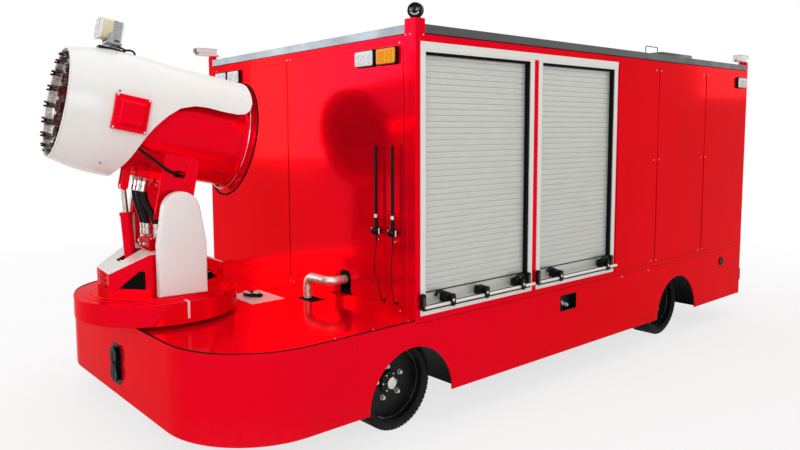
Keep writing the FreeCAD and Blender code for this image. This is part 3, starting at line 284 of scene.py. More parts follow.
def chassis_paint():
    """Black chassis paint over castings and pressings: satin, slightly lumpy, with patches of grey dust."""
    return coated("black_paint", (paint("chassis"), "#262422"), (40, 5), (25, 3, 0.32, 0.55), ((3, 2), 0.15, 0.5),
                  (0, 0.5, 0.5, 0.8), IOR=1.5, Specular_IOR_Level=0.2)


def rolled_slats():
    """Roll-formed anodised aluminium: satin grey with fine lengthwise rolling streaks and a broad sheen."""
    return coated("silver_slats", shades(paint("slats"), 0.92, 1.06), (2.5, 3, (1, 0.02, 1)),
                  (180, 3, 0.36, 0.5), (None, 0.04, 0.4), Metallic=0.35, Roughness=0.42)


def drawn_frames():
    """Drawn aluminium section, matt anodised: pale, even, with the drawing lines along its length."""
    return coated("silver_slats", shades(paint("frames"), 0.95, 1.04), (2, 2, (1, 1, 0.02)), (90, 3, 0.32, 0.46),
                  Metallic=0.25, Roughness=0.38)


def brushed(c):
    """Brushed and anodised aluminium: soft metallic sheen with brush lines along the vehicle."""
    return coated("grey_trim", shades(c, 0.88, 1.1), (3, 3, (0.05, 0.02, 1)), (150, 3, 0.38, 0.55),
                  (None, 0.05, 0.3), Metallic=0.35, Roughness=0.45)


def anodised_trim():
    return brushed(paint("trim"))


def pale_trim():
    # paler copy of the trim's colour for the front face of the roof's edge: painted highlight
    return brushed(linear("#949EA5"))


def stainless():
    """Stainless steel, ground: bright with cloudy patches and faint heat tint."""
    return coated("bare_steel", ("#A3A09B", "#D6D4CF"), (35, 4), (12, 4, 0.22, 0.42),
                  ((1.2, 2, (1, 1, 0.1)), 0.05, 0.4), Metallic=1.0)


def galvanised():
    """Hot-dip galvanised pipe: dull grey zinc with pale spangles a few millimetres across."""
    material, tree, shader, where = start("bare_steel", Metallic=0.85)
    crystals = add(tree, "ShaderNodeTexVoronoi", {"Vector": where, "Scale": 1000 / 9}).outputs["Color"]
    spangle = add(tree, "ShaderNodeSeparateXYZ", {"Vector": crystals}).outputs["X"]
    tree.links.new(tint(tree, spangle, ("#C4BEB7", "#E8E3DC")), shader.inputs["Base Color"])
    tree.links.new(spread(tree, spangle, 0.36, 0.52, 0, 1), shader.inputs["Roughness"])
    relief(tree, shader, grain(tree, where, 6, 3), 0.1, 0.4)
    return material


def zinc_plate():
    """Bright zinc on fasteners and hose fittings: mirror-like with soft scuffs."""
    return coated("bare_steel", ("#B9B9B6", "#E4E3DF"), (4, 4), (6, 3, 0.14, 0.34), Metallic=1.0)


def tyre_rubber():
    """Carbon-black tyre rubber: dull, with a brownish bloom and fine moulding texture."""
    return coated("tyre_rubber", ("#0C0C0C", "#191817"), (55, 5), (18, 4, 0.55, 0.8), ((2, 4), 0.2, 0.5), IOR=1.52,
                  Specular_IOR_Level=0.15)


def hose_rubber():
    """Wrapped rubber hose cover: matt black with the cloth wrap's fine cross marks."""
    material, tree, shader, where = start("hose_rubber", IOR=1.5, Specular_IOR_Level=0.15)
    wrap = add(tree, "ShaderNodeTexWave", {"Vector": where, "Scale": 1000 / 9, "Distortion": 1.5},
               bands_direction="Z").outputs["Fac"]
    tree.links.new(tint(tree, wrap, ("#060606", "#0E0E0D")), shader.inputs["Base Color"])
    tree.links.new(spread(tree, grain(tree, where, 15, 3), 0.42, 0.62), shader.inputs["Roughness"])
    relief(tree, shader, wrap, 0.12, 0.5)
    return material


def moulded_black():
    """Moulded black nylon: satin with a fine spark-eroded grain."""
    return coated("black_plastic", ("#080809", "#121213"), (30, 3), (10, 3, 0.34, 0.5), ((1, 2), 0.06, 0.5), IOR=1.46,
                  Specular_IOR_Level=0.12)


def white_shell():
    """White ABS shell of the cameras: even, half gloss, with a trace of grime."""
    return coated("white_paint", ("#E4E4E0", "#B4B0A6"), (20, 5), (25, 3, 0.28, 0.42), None, (0, 0.35, 0.5, 0.8),
                  IOR=1.5)


def cream_cast():
    """Cream powder coat on a die casting: soft gloss, slightly pebbled."""
    return coated("cast_housing", ("#CFC49C", "#DED5B2"), (40, 3), (12, 3, 0.36, 0.5), ((1.5, 2), 0.08, 0.5), IOR=1.5)


def grey_cast():
    """Bare pressure-cast aluminium: dull silver with a faint flow pattern."""
    return coated("cast_housing", ("#85878A", "#A6A8AA"), (18, 4), (8, 3, 0.38, 0.55), ((1.5, 3), 0.1, 0.5),
                  Metallic=0.7)


def maroon_cap():
    """Dark red moulded nozzle caps: half gloss with water marks."""
    return coated("black_plastic", ("#240A0D", "#3E1115"), (9, 4), (8, 3, 0.22, 0.4), IOR=1.5)


def camera_glass():
    """Coated camera glass: near black, mirror smooth, with a violet cast where it thickens."""
    return coated("black_plastic", ("#07070A", "#17142A"), (16, 2), IOR=1.52, Roughness=0.03, Coat_Weight=1.0,
                  Coat_Roughness=0.02)


def seal_rubber():
    """Extruded door seal: flat black with a soft nap. The same black also makes the sheets of painted shade in joints,
    recesses, slots and openings.
    """
    return coated("hose_rubber", ("#060606", "#101010"), (5, 4), (9, 3, 0.65, 0.85), IOR=1.5,
                  Specular_IOR_Level=0.06)


def lens(c):
    """Moulded acrylic lamp lens: glossy skin over a grid of optics 7 mm apart, each cell with a painted highlight in
    its middle and painted shade towards its edge.
    """
    material, tree, shader, where = start("lamp_plastic", IOR=1.49, Specular_IOR_Level=0.1, Roughness=0.12)
    cells = add(tree, "ShaderNodeTexVoronoi", {"Vector": where, "Scale": 1000 / 7},
                distance="CHEBYCHEV").outputs["Distance"]
    # the lens colour made lighter and darker over each cell: painted highlight in its middle, painted shade at its edge
    tree.links.new(tint(tree, spread(tree, cells, 0, 1, 0.1, 0.6), shades(c, 1.3, 0.78)), shader.inputs["Base Color"])
    relief(tree, shader, cells, 0.8, 0.6)
    return material


def amber_lens():
    return lens(paint("amber"))


def clear_lens():
    return lens(linear("#DFE1E4"))


def red_lens():
    return lens(linear("#8E0A10"))


def finish(maker):
    """The material that a maker function gives, made once and named for it."""
    name = maker.__name__.replace("_", " ")
    material = bpy.data.materials.get(name) or maker()
    material.name = name
    return material


# ---- modelling ---------------------------------------------------------------------------
def towards(place, direction):
    """Matrix that puts a shape drawn about Z at a place with its Z along a direction."""
    return Matrix.Translation(place) @ Vector(direction).to_track_quat("Z", "Y").to_matrix().to_4x4()


def polar(radius, a, height=0.0):
    """Point on a circle about Z."""
    return Vector((radius * math.cos(a), radius * math.sin(a), height))


def block(bm, corner, other, place=Matrix()):
    """Box between two opposite corners."""
    low, high = (Vector(map(pick, corner, other)) for pick in (min, max))
    size = Matrix.Diagonal((*(high - low), 1))
    return bmesh.ops.create_cube(bm, size=1, matrix=place @ Matrix.Translation((low + high) / 2) @ size)["verts"]


def plate(bm, corner, other, radius, place=Matrix(), steps=3):
    """Box whose edges along its thin way are rounded."""
    verts = block(bm, corner, other)
    size = [abs(n) for n in Vector(other) - Vector(corner)]
    thin = size.index(min(size))
    edges = dict.fromkeys(e for v in verts for e in v.link_edges
                          if abs((e.verts[0].co - e.verts[1].co)[thin]) > size[thin] / 2)
    made = bmesh.ops.bevel(bm, geom=list(edges), offset=radius, segments=steps, profile=0.5, affect="EDGES",
                           material=-1)
    every = {v for f in made["faces"] for v in f.verts} | {v for v in verts if v.is_valid}
    bmesh.ops.transform(bm, matrix=place, verts=list(every))


def rod(bm, start_at, end_at, radius, tip=None, steps=24, place=Matrix()):
    a, b = Vector(start_at), Vector(end_at)
    bmesh.ops.create_cone(bm, cap_ends=True, segments=steps, radius1=radius, radius2=radius if tip is None else tip,
                          depth=(b - a).length, matrix=place @ towards((a + b) / 2, b - a))


def ball(bm, centre, radius, scale=(1, 1, 1), place=Matrix(), steps=16):
    bmesh.ops.create_uvsphere(bm, u_segments=steps * 2, v_segments=steps, radius=radius,
                              matrix=place @ Matrix.Translation(centre) @ Matrix.Diagonal((*scale, 1)))


def merge(bm, part, place=Matrix()):
    """Add a finished small bmesh to a larger one at a place, and free it."""
    bmesh.ops.transform(part, matrix=place, verts=part.verts)
    mesh = bpy.data.meshes.new("part")
    part.to_mesh(mesh)
    part.free()
    bm.from_mesh(mesh)
    bpy.data.meshes.remove(mesh)


def turned(bm, profile, place=Matrix(), steps=64, closed=True):
    """Solid of revolution about Z from (height, radius) points; a closed profile makes a ring."""
    part = bmesh.new()
    verts = [part.verts.new((radius, 0, height)) for height, radius in profile]
    pairs = list(zip(verts, verts[1:])) + ([(verts[-1], verts[0])] if closed else [])
    edges = [part.edges.new(pair) for pair in pairs]
    bmesh.ops.spin(part, geom=verts + edges, axis=UP, cent=(0, 0, 0), angle=math.tau, steps=steps, use_merge=True)
    bmesh.ops.remove_doubles(part, verts=part.verts, dist=1e-6)
    bmesh.ops.recalc_face_normals(part, faces=part.faces)
    merge(bm, part, place)


def smooth_line(name, points, radius, sides=5, steps=8):
    """Curve through a run of points, round and capped where it has a radius."""
    curve = bpy.data.curves.new(name, "CURVE")
    curve.dimensions = "3D"
    curve.bevel_depth, curve.use_fill_caps = radius, radius > 0
    curve.bevel_resolution, curve.resolution_u = sides, steps
    spline = curve.splines.new("NURBS")
    spline.points.add(len(points) - 1)
    for point, where in zip(spline.points, points):
        point.co = (*where, 1)
    spline.order_u = 3
    spline.use_endpoint_u = True
    return curve


def line_mesh(*line):
    """Mesh of a smooth line."""
    curve = smooth_line("line", *line)
    holder = bpy.data.objects.new("line", curve)
    mesh = bpy.data.meshes.new_from_object(holder)
    bpy.data.objects.remove(holder)
    bpy.data.curves.remove(curve)
    return mesh


def bent_rod(bm, points, radius, place=Matrix()):
    """Round rod along points with rounded corners."""
    mesh = line_mesh(points, radius, 3, 6)
    part = bmesh.new()
    part.from_mesh(mesh)
    bpy.data.meshes.remove(mesh)
    merge(bm, part, place)


def screw(bm, place, radius):
    """Domed screw head with a hexagon socket, standing on a surface along Z."""
    height = radius * 0.55
    turned(bm, [(0, radius), (height * 0.5, radius), (height, radius * 0.62), (height, radius * 0.42),
                (height * 0.45, radius * 0.42), (height * 0.45, 0)], place, steps=12, closed=False)


def nut(bm, place, radius, height):
    """Hexagon nut with its stud's end, along Z."""
    turned(bm, [(0, radius * 1.25), (height * 0.18, radius * 1.2), (height * 0.2, radius)], place, 24, closed=False)
    rod(bm, (0, 0, 0), (0, 0, height), radius, radius * 0.92, 6, place)
    rod(bm, (0, 0, height * 0.9), (0, 0, height * 1.35), radius * 0.5, radius * 0.42, 12, place)


def shown(name, data):
    obj = bpy.data.objects.new(name, data)
    bpy.context.scene.collection.objects.link(obj)
    return obj


def finished(name, data, maker, body, replaces=()):
    """Object with its material and slot, the body it rides on and the CAD nodes it stands for."""
    obj = shown(name, data)
    material = finish(maker)
    data.materials.append(material)
    if body:
        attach(obj, body)
    if replaces:
        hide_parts(*replaces)
    return obj


def piece(name, bm, maker, body="chassis", replaces=(), soften=0.0, angle=32, outward=True):
    """Finished piece from a bmesh, smooth but for the edges that turn more than the angle, which are softened."""
    if outward:
        bmesh.ops.recalc_face_normals(bm, faces=bm.faces)
    for face in bm.faces:
        face.smooth = True
    for edge in bm.edges:
        edge.smooth = edge.calc_face_angle(math.pi) < math.radians(angle)
    mesh = bpy.data.meshes.new(name)
    bm.to_mesh(mesh)
    bm.free()
    obj = finished(name, mesh, maker, body, replaces)
    if soften:
        edges = obj.modifiers.new("softened edges", "BEVEL")
        edges.width, edges.segments, edges.harden_normals = soften, 2, True
        edges.limit_method, edges.angle_limit = "ANGLE", math.radians(angle)
    return obj


def lone(name, maker, shape, *values, body="chassis", soften=0.0, **settings):
    """Piece of a single shape."""
    bm = bmesh.new()
    shape(bm, *values, **settings)
    return piece(name, bm, maker, body, soften=soften)


def cad_mesh(node):
    """Bmesh of a CAD node with its loose triangles merged."""
    bm = bmesh.new()
    bm.from_mesh(frame["nodes"][node].data)
    bmesh.ops.remove_doubles(bm, verts=bm.verts, dist=2e-5)
    return bm


def dress(maker, soften, *nodes, joined=False):
    """CAD nodes in their own shape with softened edges, and with butt joints across the vehicle closed up."""
    for node in nodes:
        bm = cad_mesh(node)
        if joined:
            ends = {}
            for face in bm.faces:
                if abs(face.normal.y) > 0.999:
                    ends.setdefault(round(face.calc_center_median().y, 4), []).append(face)
            inside = [face for faces in ends.values() if len({f.normal.y > 0 for f in faces}) == 2 for face in faces]
            bmesh.ops.delete(bm, geom=inside, context="FACES")
        bmesh.ops.dissolve_limit(bm, angle_limit=math.radians(0.4), verts=bm.verts, edges=bm.edges)
        piece(node + "_finish", bm, maker, frame["nodes"][node]["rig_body"], (node,), soften, outward=False)


def solids(node):
    """Lowest and highest corner of each separate solid of a CAD node, from the front to the rear."""
    bm = cad_mesh(node)
    left, boxes = set(bm.verts), []
    while left:
        group, queue = set(), [left.pop()]
        while queue:
            vert = queue.pop()
            group.add(vert)
            near = {edge.other_vert(vert) for edge in vert.link_edges} & left
            left -= near
            queue += near
        boxes.append(tuple(Vector([pick(v.co[n] for v in group) for n in range(3)]) for pick in (min, max)))
    bm.free()
    return sorted(boxes, key=lambda box: (round(box[0].y, 3), box[0].x, box[0].z))


def side_of(low):
    """Side of the vehicle: 1 is its left, -1 its right."""
    return 1 if low.x > 0 else -1


# ---- camera, floor and light -------------------------------------------------------------
def make_camera(view):
    az, down, roll = view.azimuth, view.down, view.roll
    ahead = Vector((-math.sin(az) * math.cos(down), math.cos(az) * math.cos(down), -math.sin(down)))
    right = Vector((math.cos(az), math.sin(az), 0))
    up = right.cross(ahead)
    right, up = right * math.cos(roll) + up * math.sin(roll), up * math.cos(roll) - right * math.sin(roll)
    data = bpy.data.cameras.new("camera")
    data.sensor_width, data.lens, data.clip_end = 36, view.lens, 100
    data.shift_x, data.shift_y = view.shift
    camera = shown("camera", data)
    camera.matrix_world = frame_of(right, up, -ahead, view.place)
    bpy.context.scene.camera = camera


def area_light(name, place, target, width, height, power):
    data = bpy.data.lights.new(name, "AREA")
    data.shape, data.size, data.size_y, data.energy = "RECTANGLE", width, height, power
    shown(name, data).matrix_world = towards(place, Vector(place) - Vector(target))


def seen_white(tree, plain, strength):
    """Shader that shows white to the camera, to gloss and through glass, and is plain to all other rays."""
    rays = add(tree, "ShaderNodeLightPath", {}).outputs
    glossy = add(tree, "ShaderNodeMath", {0: rays["Is Camera Ray"], 1: rays["Is Glossy Ray"]}, operation="MAXIMUM")
    seen = add(tree, "ShaderNodeMath", {0: glossy.outputs[0], 1: rays["Is Transmission Ray"]}, operation="MAXIMUM")
    share = add(tree, "ShaderNodeMath", {0: seen.outputs[0], 1: strength}, operation="MULTIPLY")
    kind = "ShaderNodeBackground" if plain.node.bl_idname == "ShaderNodeBackground" else "ShaderNodeEmission"
    white = add(tree, kind, {"Color": (1, 1, 1, 1), "Strength": 1.0})
    return add(tree, "ShaderNodeMixShader", {0: share.outputs[0], 1: plain, 2: white.outputs[0]}).outputs[0]


def make_floor():
    bm = bmesh.new()
    bmesh.ops.create_grid(bm, x_segments=1, y_segments=1, size=60)
    mesh = bpy.data.meshes.new("floor")
    bm.to_mesh(mesh)
    bm.free()
    floor = shown("floor", mesh)
    material = bpy.data.materials.new("pale floor")
    material.use_nodes = True
    tree = material.node_tree
    tree.nodes.clear()
    where = add(tree, "ShaderNodeTexCoord", {}).outputs["Object"]
    pale = tint(tree, spread(tree, grain(tree, where, 700, 3), 0, 1), ("#E9E9E8", "#F0F0EF"))
    plain = add(tree, "ShaderNodeBsdfDiffuse", {"Color": pale}).outputs[0]
    away = add(tree, "ShaderNodeVectorMath", {0: where}, operation="LENGTH").outputs["Value"]
    share = spread(tree, away, 0.74, 1.0, 2.6, 7.0)
    add(tree, "ShaderNodeOutputMaterial", {"Surface": seen_white(tree, plain, share)})
    mesh.materials.append(material)


def make_world():
    world = bpy.data.worlds.new("studio")
    world.use_nodes = True
    tree = world.node_tree
    tree.nodes.clear()
    plain = add(tree, "ShaderNodeBackground", {"Color": (*linear("#F4F5F7"), 1), "Strength": 0.5}).outputs[0]
    add(tree, "ShaderNodeOutputWorld", {"Surface": seen_white(tree, plain, 1.0)})
    bpy.context.scene.world = world


class ROBOT_OT_stage(bpy.types.Operator):
    """Camera, pale floor and soft studio light"""
    bl_idname = "robot.stage"
    bl_label = "Stage"

    def execute(self, context):
        context.scene.view_settings.view_transform = "Standard"
        make_camera(context.scene.robot_view)
        make_floor()
        make_world()
        area_light("overhead", (0.5, -0.5, 6.0), (0.2, -0.2, 0), 6.5, 8.0, 175)
        area_light("front left", (5.5, -5.5, 3.2), (0, -1, 1), 4.0, 3.0, 150)
        area_light("front right", (-5.0, -5.5, 2.6), (0, -1, 1), 3.0, 3.0, 130)
        area_light("rear", (1.0, 7.0, 3.4), (0, 1, 1), 5.0, 3.0, 80)
        return {"FINISHED"}


# ---- cords -------------------------------------------------------------------------------
LEAD_RADIUS = 0.0025
HOSE_RADIUS = 0.017
CABLE_RADIUS = 0.008
LEAD_TOP, LEAD_END = 0.9517, 0.653
LEAD_OUT = 0.034                # aerial's axis out from the wall
# aerial leads: x of the foot, x of the grommet, how far the lead bows out, its length
LEADS = {"aerial_lead_inner": (0.795, 0.822, 0.010, 0.320), "aerial_lead_outer": (0.921, 0.922, 0.006, 0.316)}
# hoses: length, start in the fan's frame above the tilt pin, then steps down in the turntable's frame
HOSE_TOP = 0.1347
HOSES = {
    "left_hose": (0.320, (0.034, -0.125), [(0, -0.0093, -0.0449), (0.001, 0, -0.0459), (0.007, 0.009, -0.0445),
                                           (0.0135, 0.017, -0.0405), (0.0125, 0.016, -0.0412),
                                           (0.0065, 0.008, -0.0447), (0, 0, -0.046)]),
    "middle_hose": (0.316, (-0.004, -0.141), [(0, -0.0091, -0.0439), (0.001, 0, -0.0448), (0.003, 0.0065, -0.0442),
                                              (0.0055, 0.012, -0.0428), (0.005, 0.0115, -0.0431),
                                              (0.002, 0.0055, -0.0444), (0, 0, -0.045)]),
    "right_hose": (0.318, (-0.042, -0.150), [(0, -0.0091, -0.0439), (0.001, 0, -0.0448), (0.0025, 0.0065, -0.0442),
                                             (0.0045, 0.0125, -0.0427), (0.0035, 0.012, -0.043),
                                             (0.0015, 0.0055, -0.0445), (0, 0, -0.045)]),
}
# fan cable in the fan's frame
CABLE = [(0.266, -0.304, -0.112), (0.250, -0.266, -0.140), (0.240, -0.222, -0.164), (0.232, -0.176, -0.186),
         (0.227, -0.130, -0.207), (0.226, -0.092, -0.227), (0.226, -0.054, -0.241), (0.212, -0.020, -0.247),
         (0.187, 0.005, -0.249), (0.155, 0.018, -0.249), (0.122, 0.018, -0.249)]


def cord_curve(name, points, radius, maker, body, node):
    """Cord on one smooth line through the route, from its first point."""
    obj = finished(name, smooth_line(name, points, radius), maker, body, (node,))


def bending_hose(node, route):
    """Hose from the valve block up to the fan."""
    points = [TURN @ p for p in route]
    middle = line_mesh(points, 0)
    bpy.data.meshes.remove(middle)
    mesh = line_mesh(points, HOSE_RADIUS)
    mesh.materials.clear()
    for polygon in mesh.polygons:
        polygon.use_smooth = True
    obj = finished(node + "_cord", mesh, hose_rubber, None, (node,))
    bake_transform(obj)
    hose_ends(node, route)


def hose_route(node):
    """Route of a hose from the manifold under the duct to the valve block, in the turntable's frame."""
    (x, y), steps = HOSES[node][1:]
    points = [TURN.inverted() @ FAN @ Vector((x, y, HOSE_TOP - FAN_RISE))]
    for step in steps:
        points.append(points[-1] + Vector(step))
    points[-1].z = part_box(node)[0].z
    return points


def lead_route(foot, grommet, bow):
    """Route of an aerial's lead from its foot down to its grommet in the wall."""
    step = (LEAD_TOP - LEAD_END) / 7
    across = [foot, foot - 0.001, foot + 0.001 - bow, foot + 0.005 - bow * 1.3, foot + 0.008 - bow * 1.1,
              grommet - 0.008, grommet - 0.003, grommet]
    out = [0, -0.002, -0.005, -0.006, -0.006, -0.003, 0.001, 0.008]
    points = [Vector((x, WALL_FRONT - LEAD_OUT + dy, LEAD_TOP - n * step))
              for n, (x, dy) in enumerate(zip(across, out))]
    return points + [Vector((grommet, WALL_FRONT - 0.0083, LEAD_END))]


def hose_ends(node, route):
    """Crimped ferrule and hexagon of each end of a hose."""
    r = HOSE_RADIUS
    for name, body, end, ahead in (("_top", "fan", route[0], route[1]), ("_foot", "turntable", route[-1], route[-2])):
        bm = bmesh.new()
        place = TURN @ towards(end, ahead - end)
        rod(bm, (0, 0, 0.0), (0, 0, 0.014), r * 1.18, steps=6, place=place)
        turned(bm, [(0.014, r * 1.02), (0.018, r * 1.2), (0.038, r * 1.2), (0.040, r * 1.08), (0.046, r * 1.08),
                    (0.048, r * 1.2), (0.070, r * 1.2), (0.073, r * 1.04)], place, 24, closed=False)
        piece(node + name, bm, zinc_plate, body, soften=0.0008)


class ROBOT_OT_cords(bpy.types.Operator):
    """Aerial leads, hydraulic hoses and the fan's cable, with the crimped ends of the hoses"""
    bl_idname = "robot.cords"
    bl_label = "Cords"

    def execute(self, context):
        for node, (*route, span) in LEADS.items():
            cord_curve(node + "_cord", lead_route(*route), LEAD_RADIUS, moulded_black, "chassis", node)
        for node in HOSES:
            bending_hose(node, hose_route(node))
        cord_curve("fan_cable_cord", [FAN @ Vector(p) for p in CABLE], CABLE_RADIUS, hose_rubber, "fan", "fan_cable")
        return {"FINISHED"}


# ---- skirts and deck ---------------------------------------------------------------------
ARCH_RADIUS = 0.278
LINER_RADIUS, LINER_DEPTH = ARCH_RADIUS + 0.053, 0.38       # clear of the tyre at full lock
CORNER_RADIUS = 0.457           # plan radius of the chassis's front corners
AXLES = [sum(corner.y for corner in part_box(node)) / 2 for node in ("tyre_front_left", "tyre_rear_left")]
SEAM_X = -0.050                 # seam of the front wall and the deck
PIPE_X, PIPE_WALL_X, PIPE_Y = 0.290, 0.498, FRONT + 0.989


def arch_lips():
    """Rolled edge of each wheel arch and the black liner behind it."""
    r = ARCH_RADIUS
    for side, name in ((-1, "right"), (1, "left")):
        lips, liners = bmesh.new(), bmesh.new()
        for y in AXLES:
            turned(lips, [(0.0, r + 0.0005), (0.0, r + 0.006), (0.0074, r + 0.006), (0.0084, r + 0.004),
                          (0.0074, r + 0.0005)], towards((side * (HALF - 0.007), y, SKIRT_BOTTOM), (side, 0, 0)), 96)
            turned(liners, [(0.0, LINER_RADIUS), (0.0, LINER_RADIUS + 0.004), (LINER_DEPTH, LINER_RADIUS + 0.004),
                            (LINER_DEPTH, LINER_RADIUS)],
                   towards((side * (HALF - 0.01 - LINER_DEPTH), y, SKIRT_BOTTOM), (side, 0, 0)), 96)
        for bm in (lips, liners):
            geom = bm.verts[:] + bm.edges[:] + bm.faces[:]
            bmesh.ops.bisect_plane(bm, geom=geom, plane_co=(0, 0, SKIRT_BOTTOM), plane_no=-UP, clear_outer=True)
        piece(name + "_arch_lips", lips, red_enamel, outward=False)
        piece(name + "_arch_liners", liners, moulded_black, outward=False)


def deck_bead():
    """Flat black strip that lies in the joint between the deck plate and the skirts."""
    inset = 0.008
    x, y, radius = HALF - inset, FRONT + inset, CORNER_RADIUS - inset
    way = [Vector((-x, WALL_FRONT, 0))]
    for middle, first in ((-x + radius, math.pi), (x - radius, math.pi * 1.5)):
        way += [Vector((middle, y + radius, 0)) + polar(radius, first + math.pi / 2 * n / 16) for n in range(17)]
    way.append(Vector((x, WALL_FRONT, 0)))
    bm = bmesh.new()
    rows = []
    for n, point in enumerate(way):
        along = (way[min(n + 1, len(way) - 1)] - way[max(n - 1, 0)]).normalized()
        across = along.cross(UP) * 0.006
        rows.append([bm.verts.new(point + across * s + UP * (DECK_TOP - z))
                     for s, z in ((-1, 0.0005), (1, 0.0005), (1, -0.002), (-1, -0.002))])
    for a, b in zip(rows, rows[1:]):
        for k in range(4):
            bm.faces.new((a[k], a[(k + 1) % 4], b[(k + 1) % 4], b[k]))
    bm.faces.new(rows[0])
    bm.faces.new(rows[-1])
    piece("deck_bead", bm, seal_rubber)


def deck_seam(strip):
    """Two folded seams of the deck plate, in line with the seam of the front wall, and the screws along its sides."""
    seams, screws = bmesh.new(), bmesh.new()
    for x in (SEAM_X, SEAM_X + strip):
        block(seams, (x - 0.0015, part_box("deck_plate")[0].y + 0.62, DECK_TOP - 0.001),
              (x + 0.0015, WALL_FRONT, DECK_TOP + 0.0012))
    piece("deck_seams", seams, red_enamel)
    for x in (-1.026, 1.026):
        for n in range(3):
            screw(screws, Matrix.Translation((x, WALL_FRONT - 0.026 - 0.226 * n, DECK_TOP)), 0.004)
    piece("deck_screws", screws, zinc_plate)


def deck_tray():
    """Bright tray behind the turntable with a coiled lanyard and two clips on it."""
    low, high = Vector((-0.06, FRONT + 0.672, DECK_TOP)), Vector((0.215, FRONT + 0.880, DECK_TOP + 0.003))
    lone("deck_tray", drawn_frames, plate, low, high, 0.006, soften=0.0008)
    centre = (low + high) / 2 + Vector((-0.03, -0.005, 0.003))
    loop = []
    for n in range(37):
        a, turns = math.tau * n / 12, n / 12
        radius = 0.050 - 0.004 * turns + 0.006 * math.sin(2.3 * a)
        loop.append(centre + Vector((radius * 1.25 * math.cos(a), radius * math.sin(a), 0.0045 + 0.004 * turns)))
    lone("deck_lanyard", moulded_black, bent_rod, loop, 0.0045)
    clips, screws = bmesh.new(), bmesh.new()
    half = Vector((0.024, 0.011, 0.005))
    for spot in (centre + Vector((0.012, 0.02, 0.016)), centre + Vector((-0.028, -0.018, 0.016))):
        plate(clips, spot - half, spot + half, 0.004)
    piece("deck_clips", clips, white_shell, soften=0.002)
    for x in (low.x + 0.014, high.x - 0.014):
        for y in (low.y + 0.014, high.y - 0.014):
            screw(screws, Matrix.Translation((x, y, high.z)), 0.005)
    piece("deck_tray_screws", screws, zinc_plate)


def pipe_cutouts():
    """Black sheets at the openings where the water pipe leaves the deck and enters the wall: painted shade inside them.
    """
    lone("deck_cutout", seal_rubber, plate, (PIPE_X - 0.048, PIPE_Y - 0.046, DECK_TOP - 0.003),
         (PIPE_X + 0.100, PIPE_Y + 0.052, DECK_TOP + 0.0006), 0.012)
    bm = bmesh.new()
    left, right, face, back = PIPE_WALL_X - 0.046, PIPE_WALL_X + 0.048, WALL_FRONT - 0.0048, WALL_FRONT + 0.001
    plate(bm, (left, face, 0.660), (right, back, 0.763), 0.040, steps=6)
    block(bm, (left, face, 0.630), (right, back, 0.715))
    piece("wall_cutout", bm, seal_rubber)


def switch_box():
    """Recessed master switch in the left skirt: black tray, key switch and plug."""
    low, high = Vector((HALF - 0.040, FRONT + 2.300, 0.432)), Vector((HALF + 0.002, FRONT + 2.462, 0.530))
    floor = low.x + 0.004
    tray, key, lock = bmesh.new(), bmesh.new(), bmesh.new()
    block(tray, low, (floor, high.y, high.z))
    for a, b in (((low.y, low.z), (high.y, low.z + 0.004)), ((low.y, high.z - 0.004), (high.y, high.z)),
                 ((low.y, low.z), (low.y + 0.004, high.z)), ((high.y - 0.004, low.z), (high.y, high.z))):
        block(tray, (low.x, *a), (high.x, *b))
    piece("switch_tray", tray, moulded_black, soften=0.001)
    face = towards((floor, low.y + 0.058, 0.470), (1, 0, 0))
    turned(key, [(0, 0.016), (0.006, 0.016), (0.008, 0.012), (0.016, 0.012), (0.018, 0.010), (0.018, 0)], face, 24,
           closed=False)
    block(key, (-0.003, -0.011, 0.018), (0.003, 0.011, 0.030), face)
    piece("switch_key", key, zinc_plate, soften=0.0006)
    y, z = low.y + 0.096, 0.458
    rod(lock, (floor, y, z), (low.x + 0.020, y, z), 0.011)
    rod(lock, (low.x + 0.020, y, z), (low.x + 0.026, y, z), 0.008, 0.006)
    piece("switch_lock", lock, zinc_plate, soften=0.0006)


def supply_socket():
    """Round inlet with its hinged cap, low on the left skirt."""
    place = towards((HALF - 0.006, REAR - 0.345, 0.483), (1, 0, 0))
    lone("socket_ring", moulded_black, turned,
         [(0, 0.026), (0, 0.0255), (0.007, 0.0255), (0.007, 0.034), (0.011, 0.034), (0.012, 0.031), (0.012, 0.022),
          (0.002, 0.021), (0.002, 0.0)], place, 36, closed=False)
    pins = bmesh.new()
    for n in range(5):
        foot = polar(0.012, math.tau * n / 5, 0.002)
        rod(pins, foot, foot + UP * 0.008, 0.0025, steps=10, place=place)
    piece("socket_pins", pins, zinc_plate)


def skirt_rivets(radius):
    """Button heads along the seam between the side skirts and the body."""
    bm = bmesh.new()
    for side in (-1, 1):
        for y in (FRONT + 2.98, AXLES[1] - 0.42):
            screw(bm, towards((side * HALF, y, WALL_BOTTOM - 0.018), (side, 0, 0)), radius)
    piece("skirt_rivets", bm, zinc_plate)


class ROBOT_OT_skirts(bpy.types.Operator):
    """Skirts, deck plate and what is fastened to them"""
    bl_idname = "robot.skirts"
    bl_label = "Skirts and deck"

    def execute(self, context):
        dress(red_enamel, 0.0018, "front_skirt", "right_skirt", "rear_skirt")
        dress(red_enamel, 0.0018, "left_skirt", joined=True)
        dress(red_enamel, 0.0025, "deck_plate")
        arch_lips()
        deck_bead()
        deck_seam(context.scene.robot_body.strip)
        deck_tray()
        pipe_cutouts()
        switch_box()
        supply_socket()
        skirt_rivets(context.scene.robot_body.rivet)
        return {"FINISHED"}


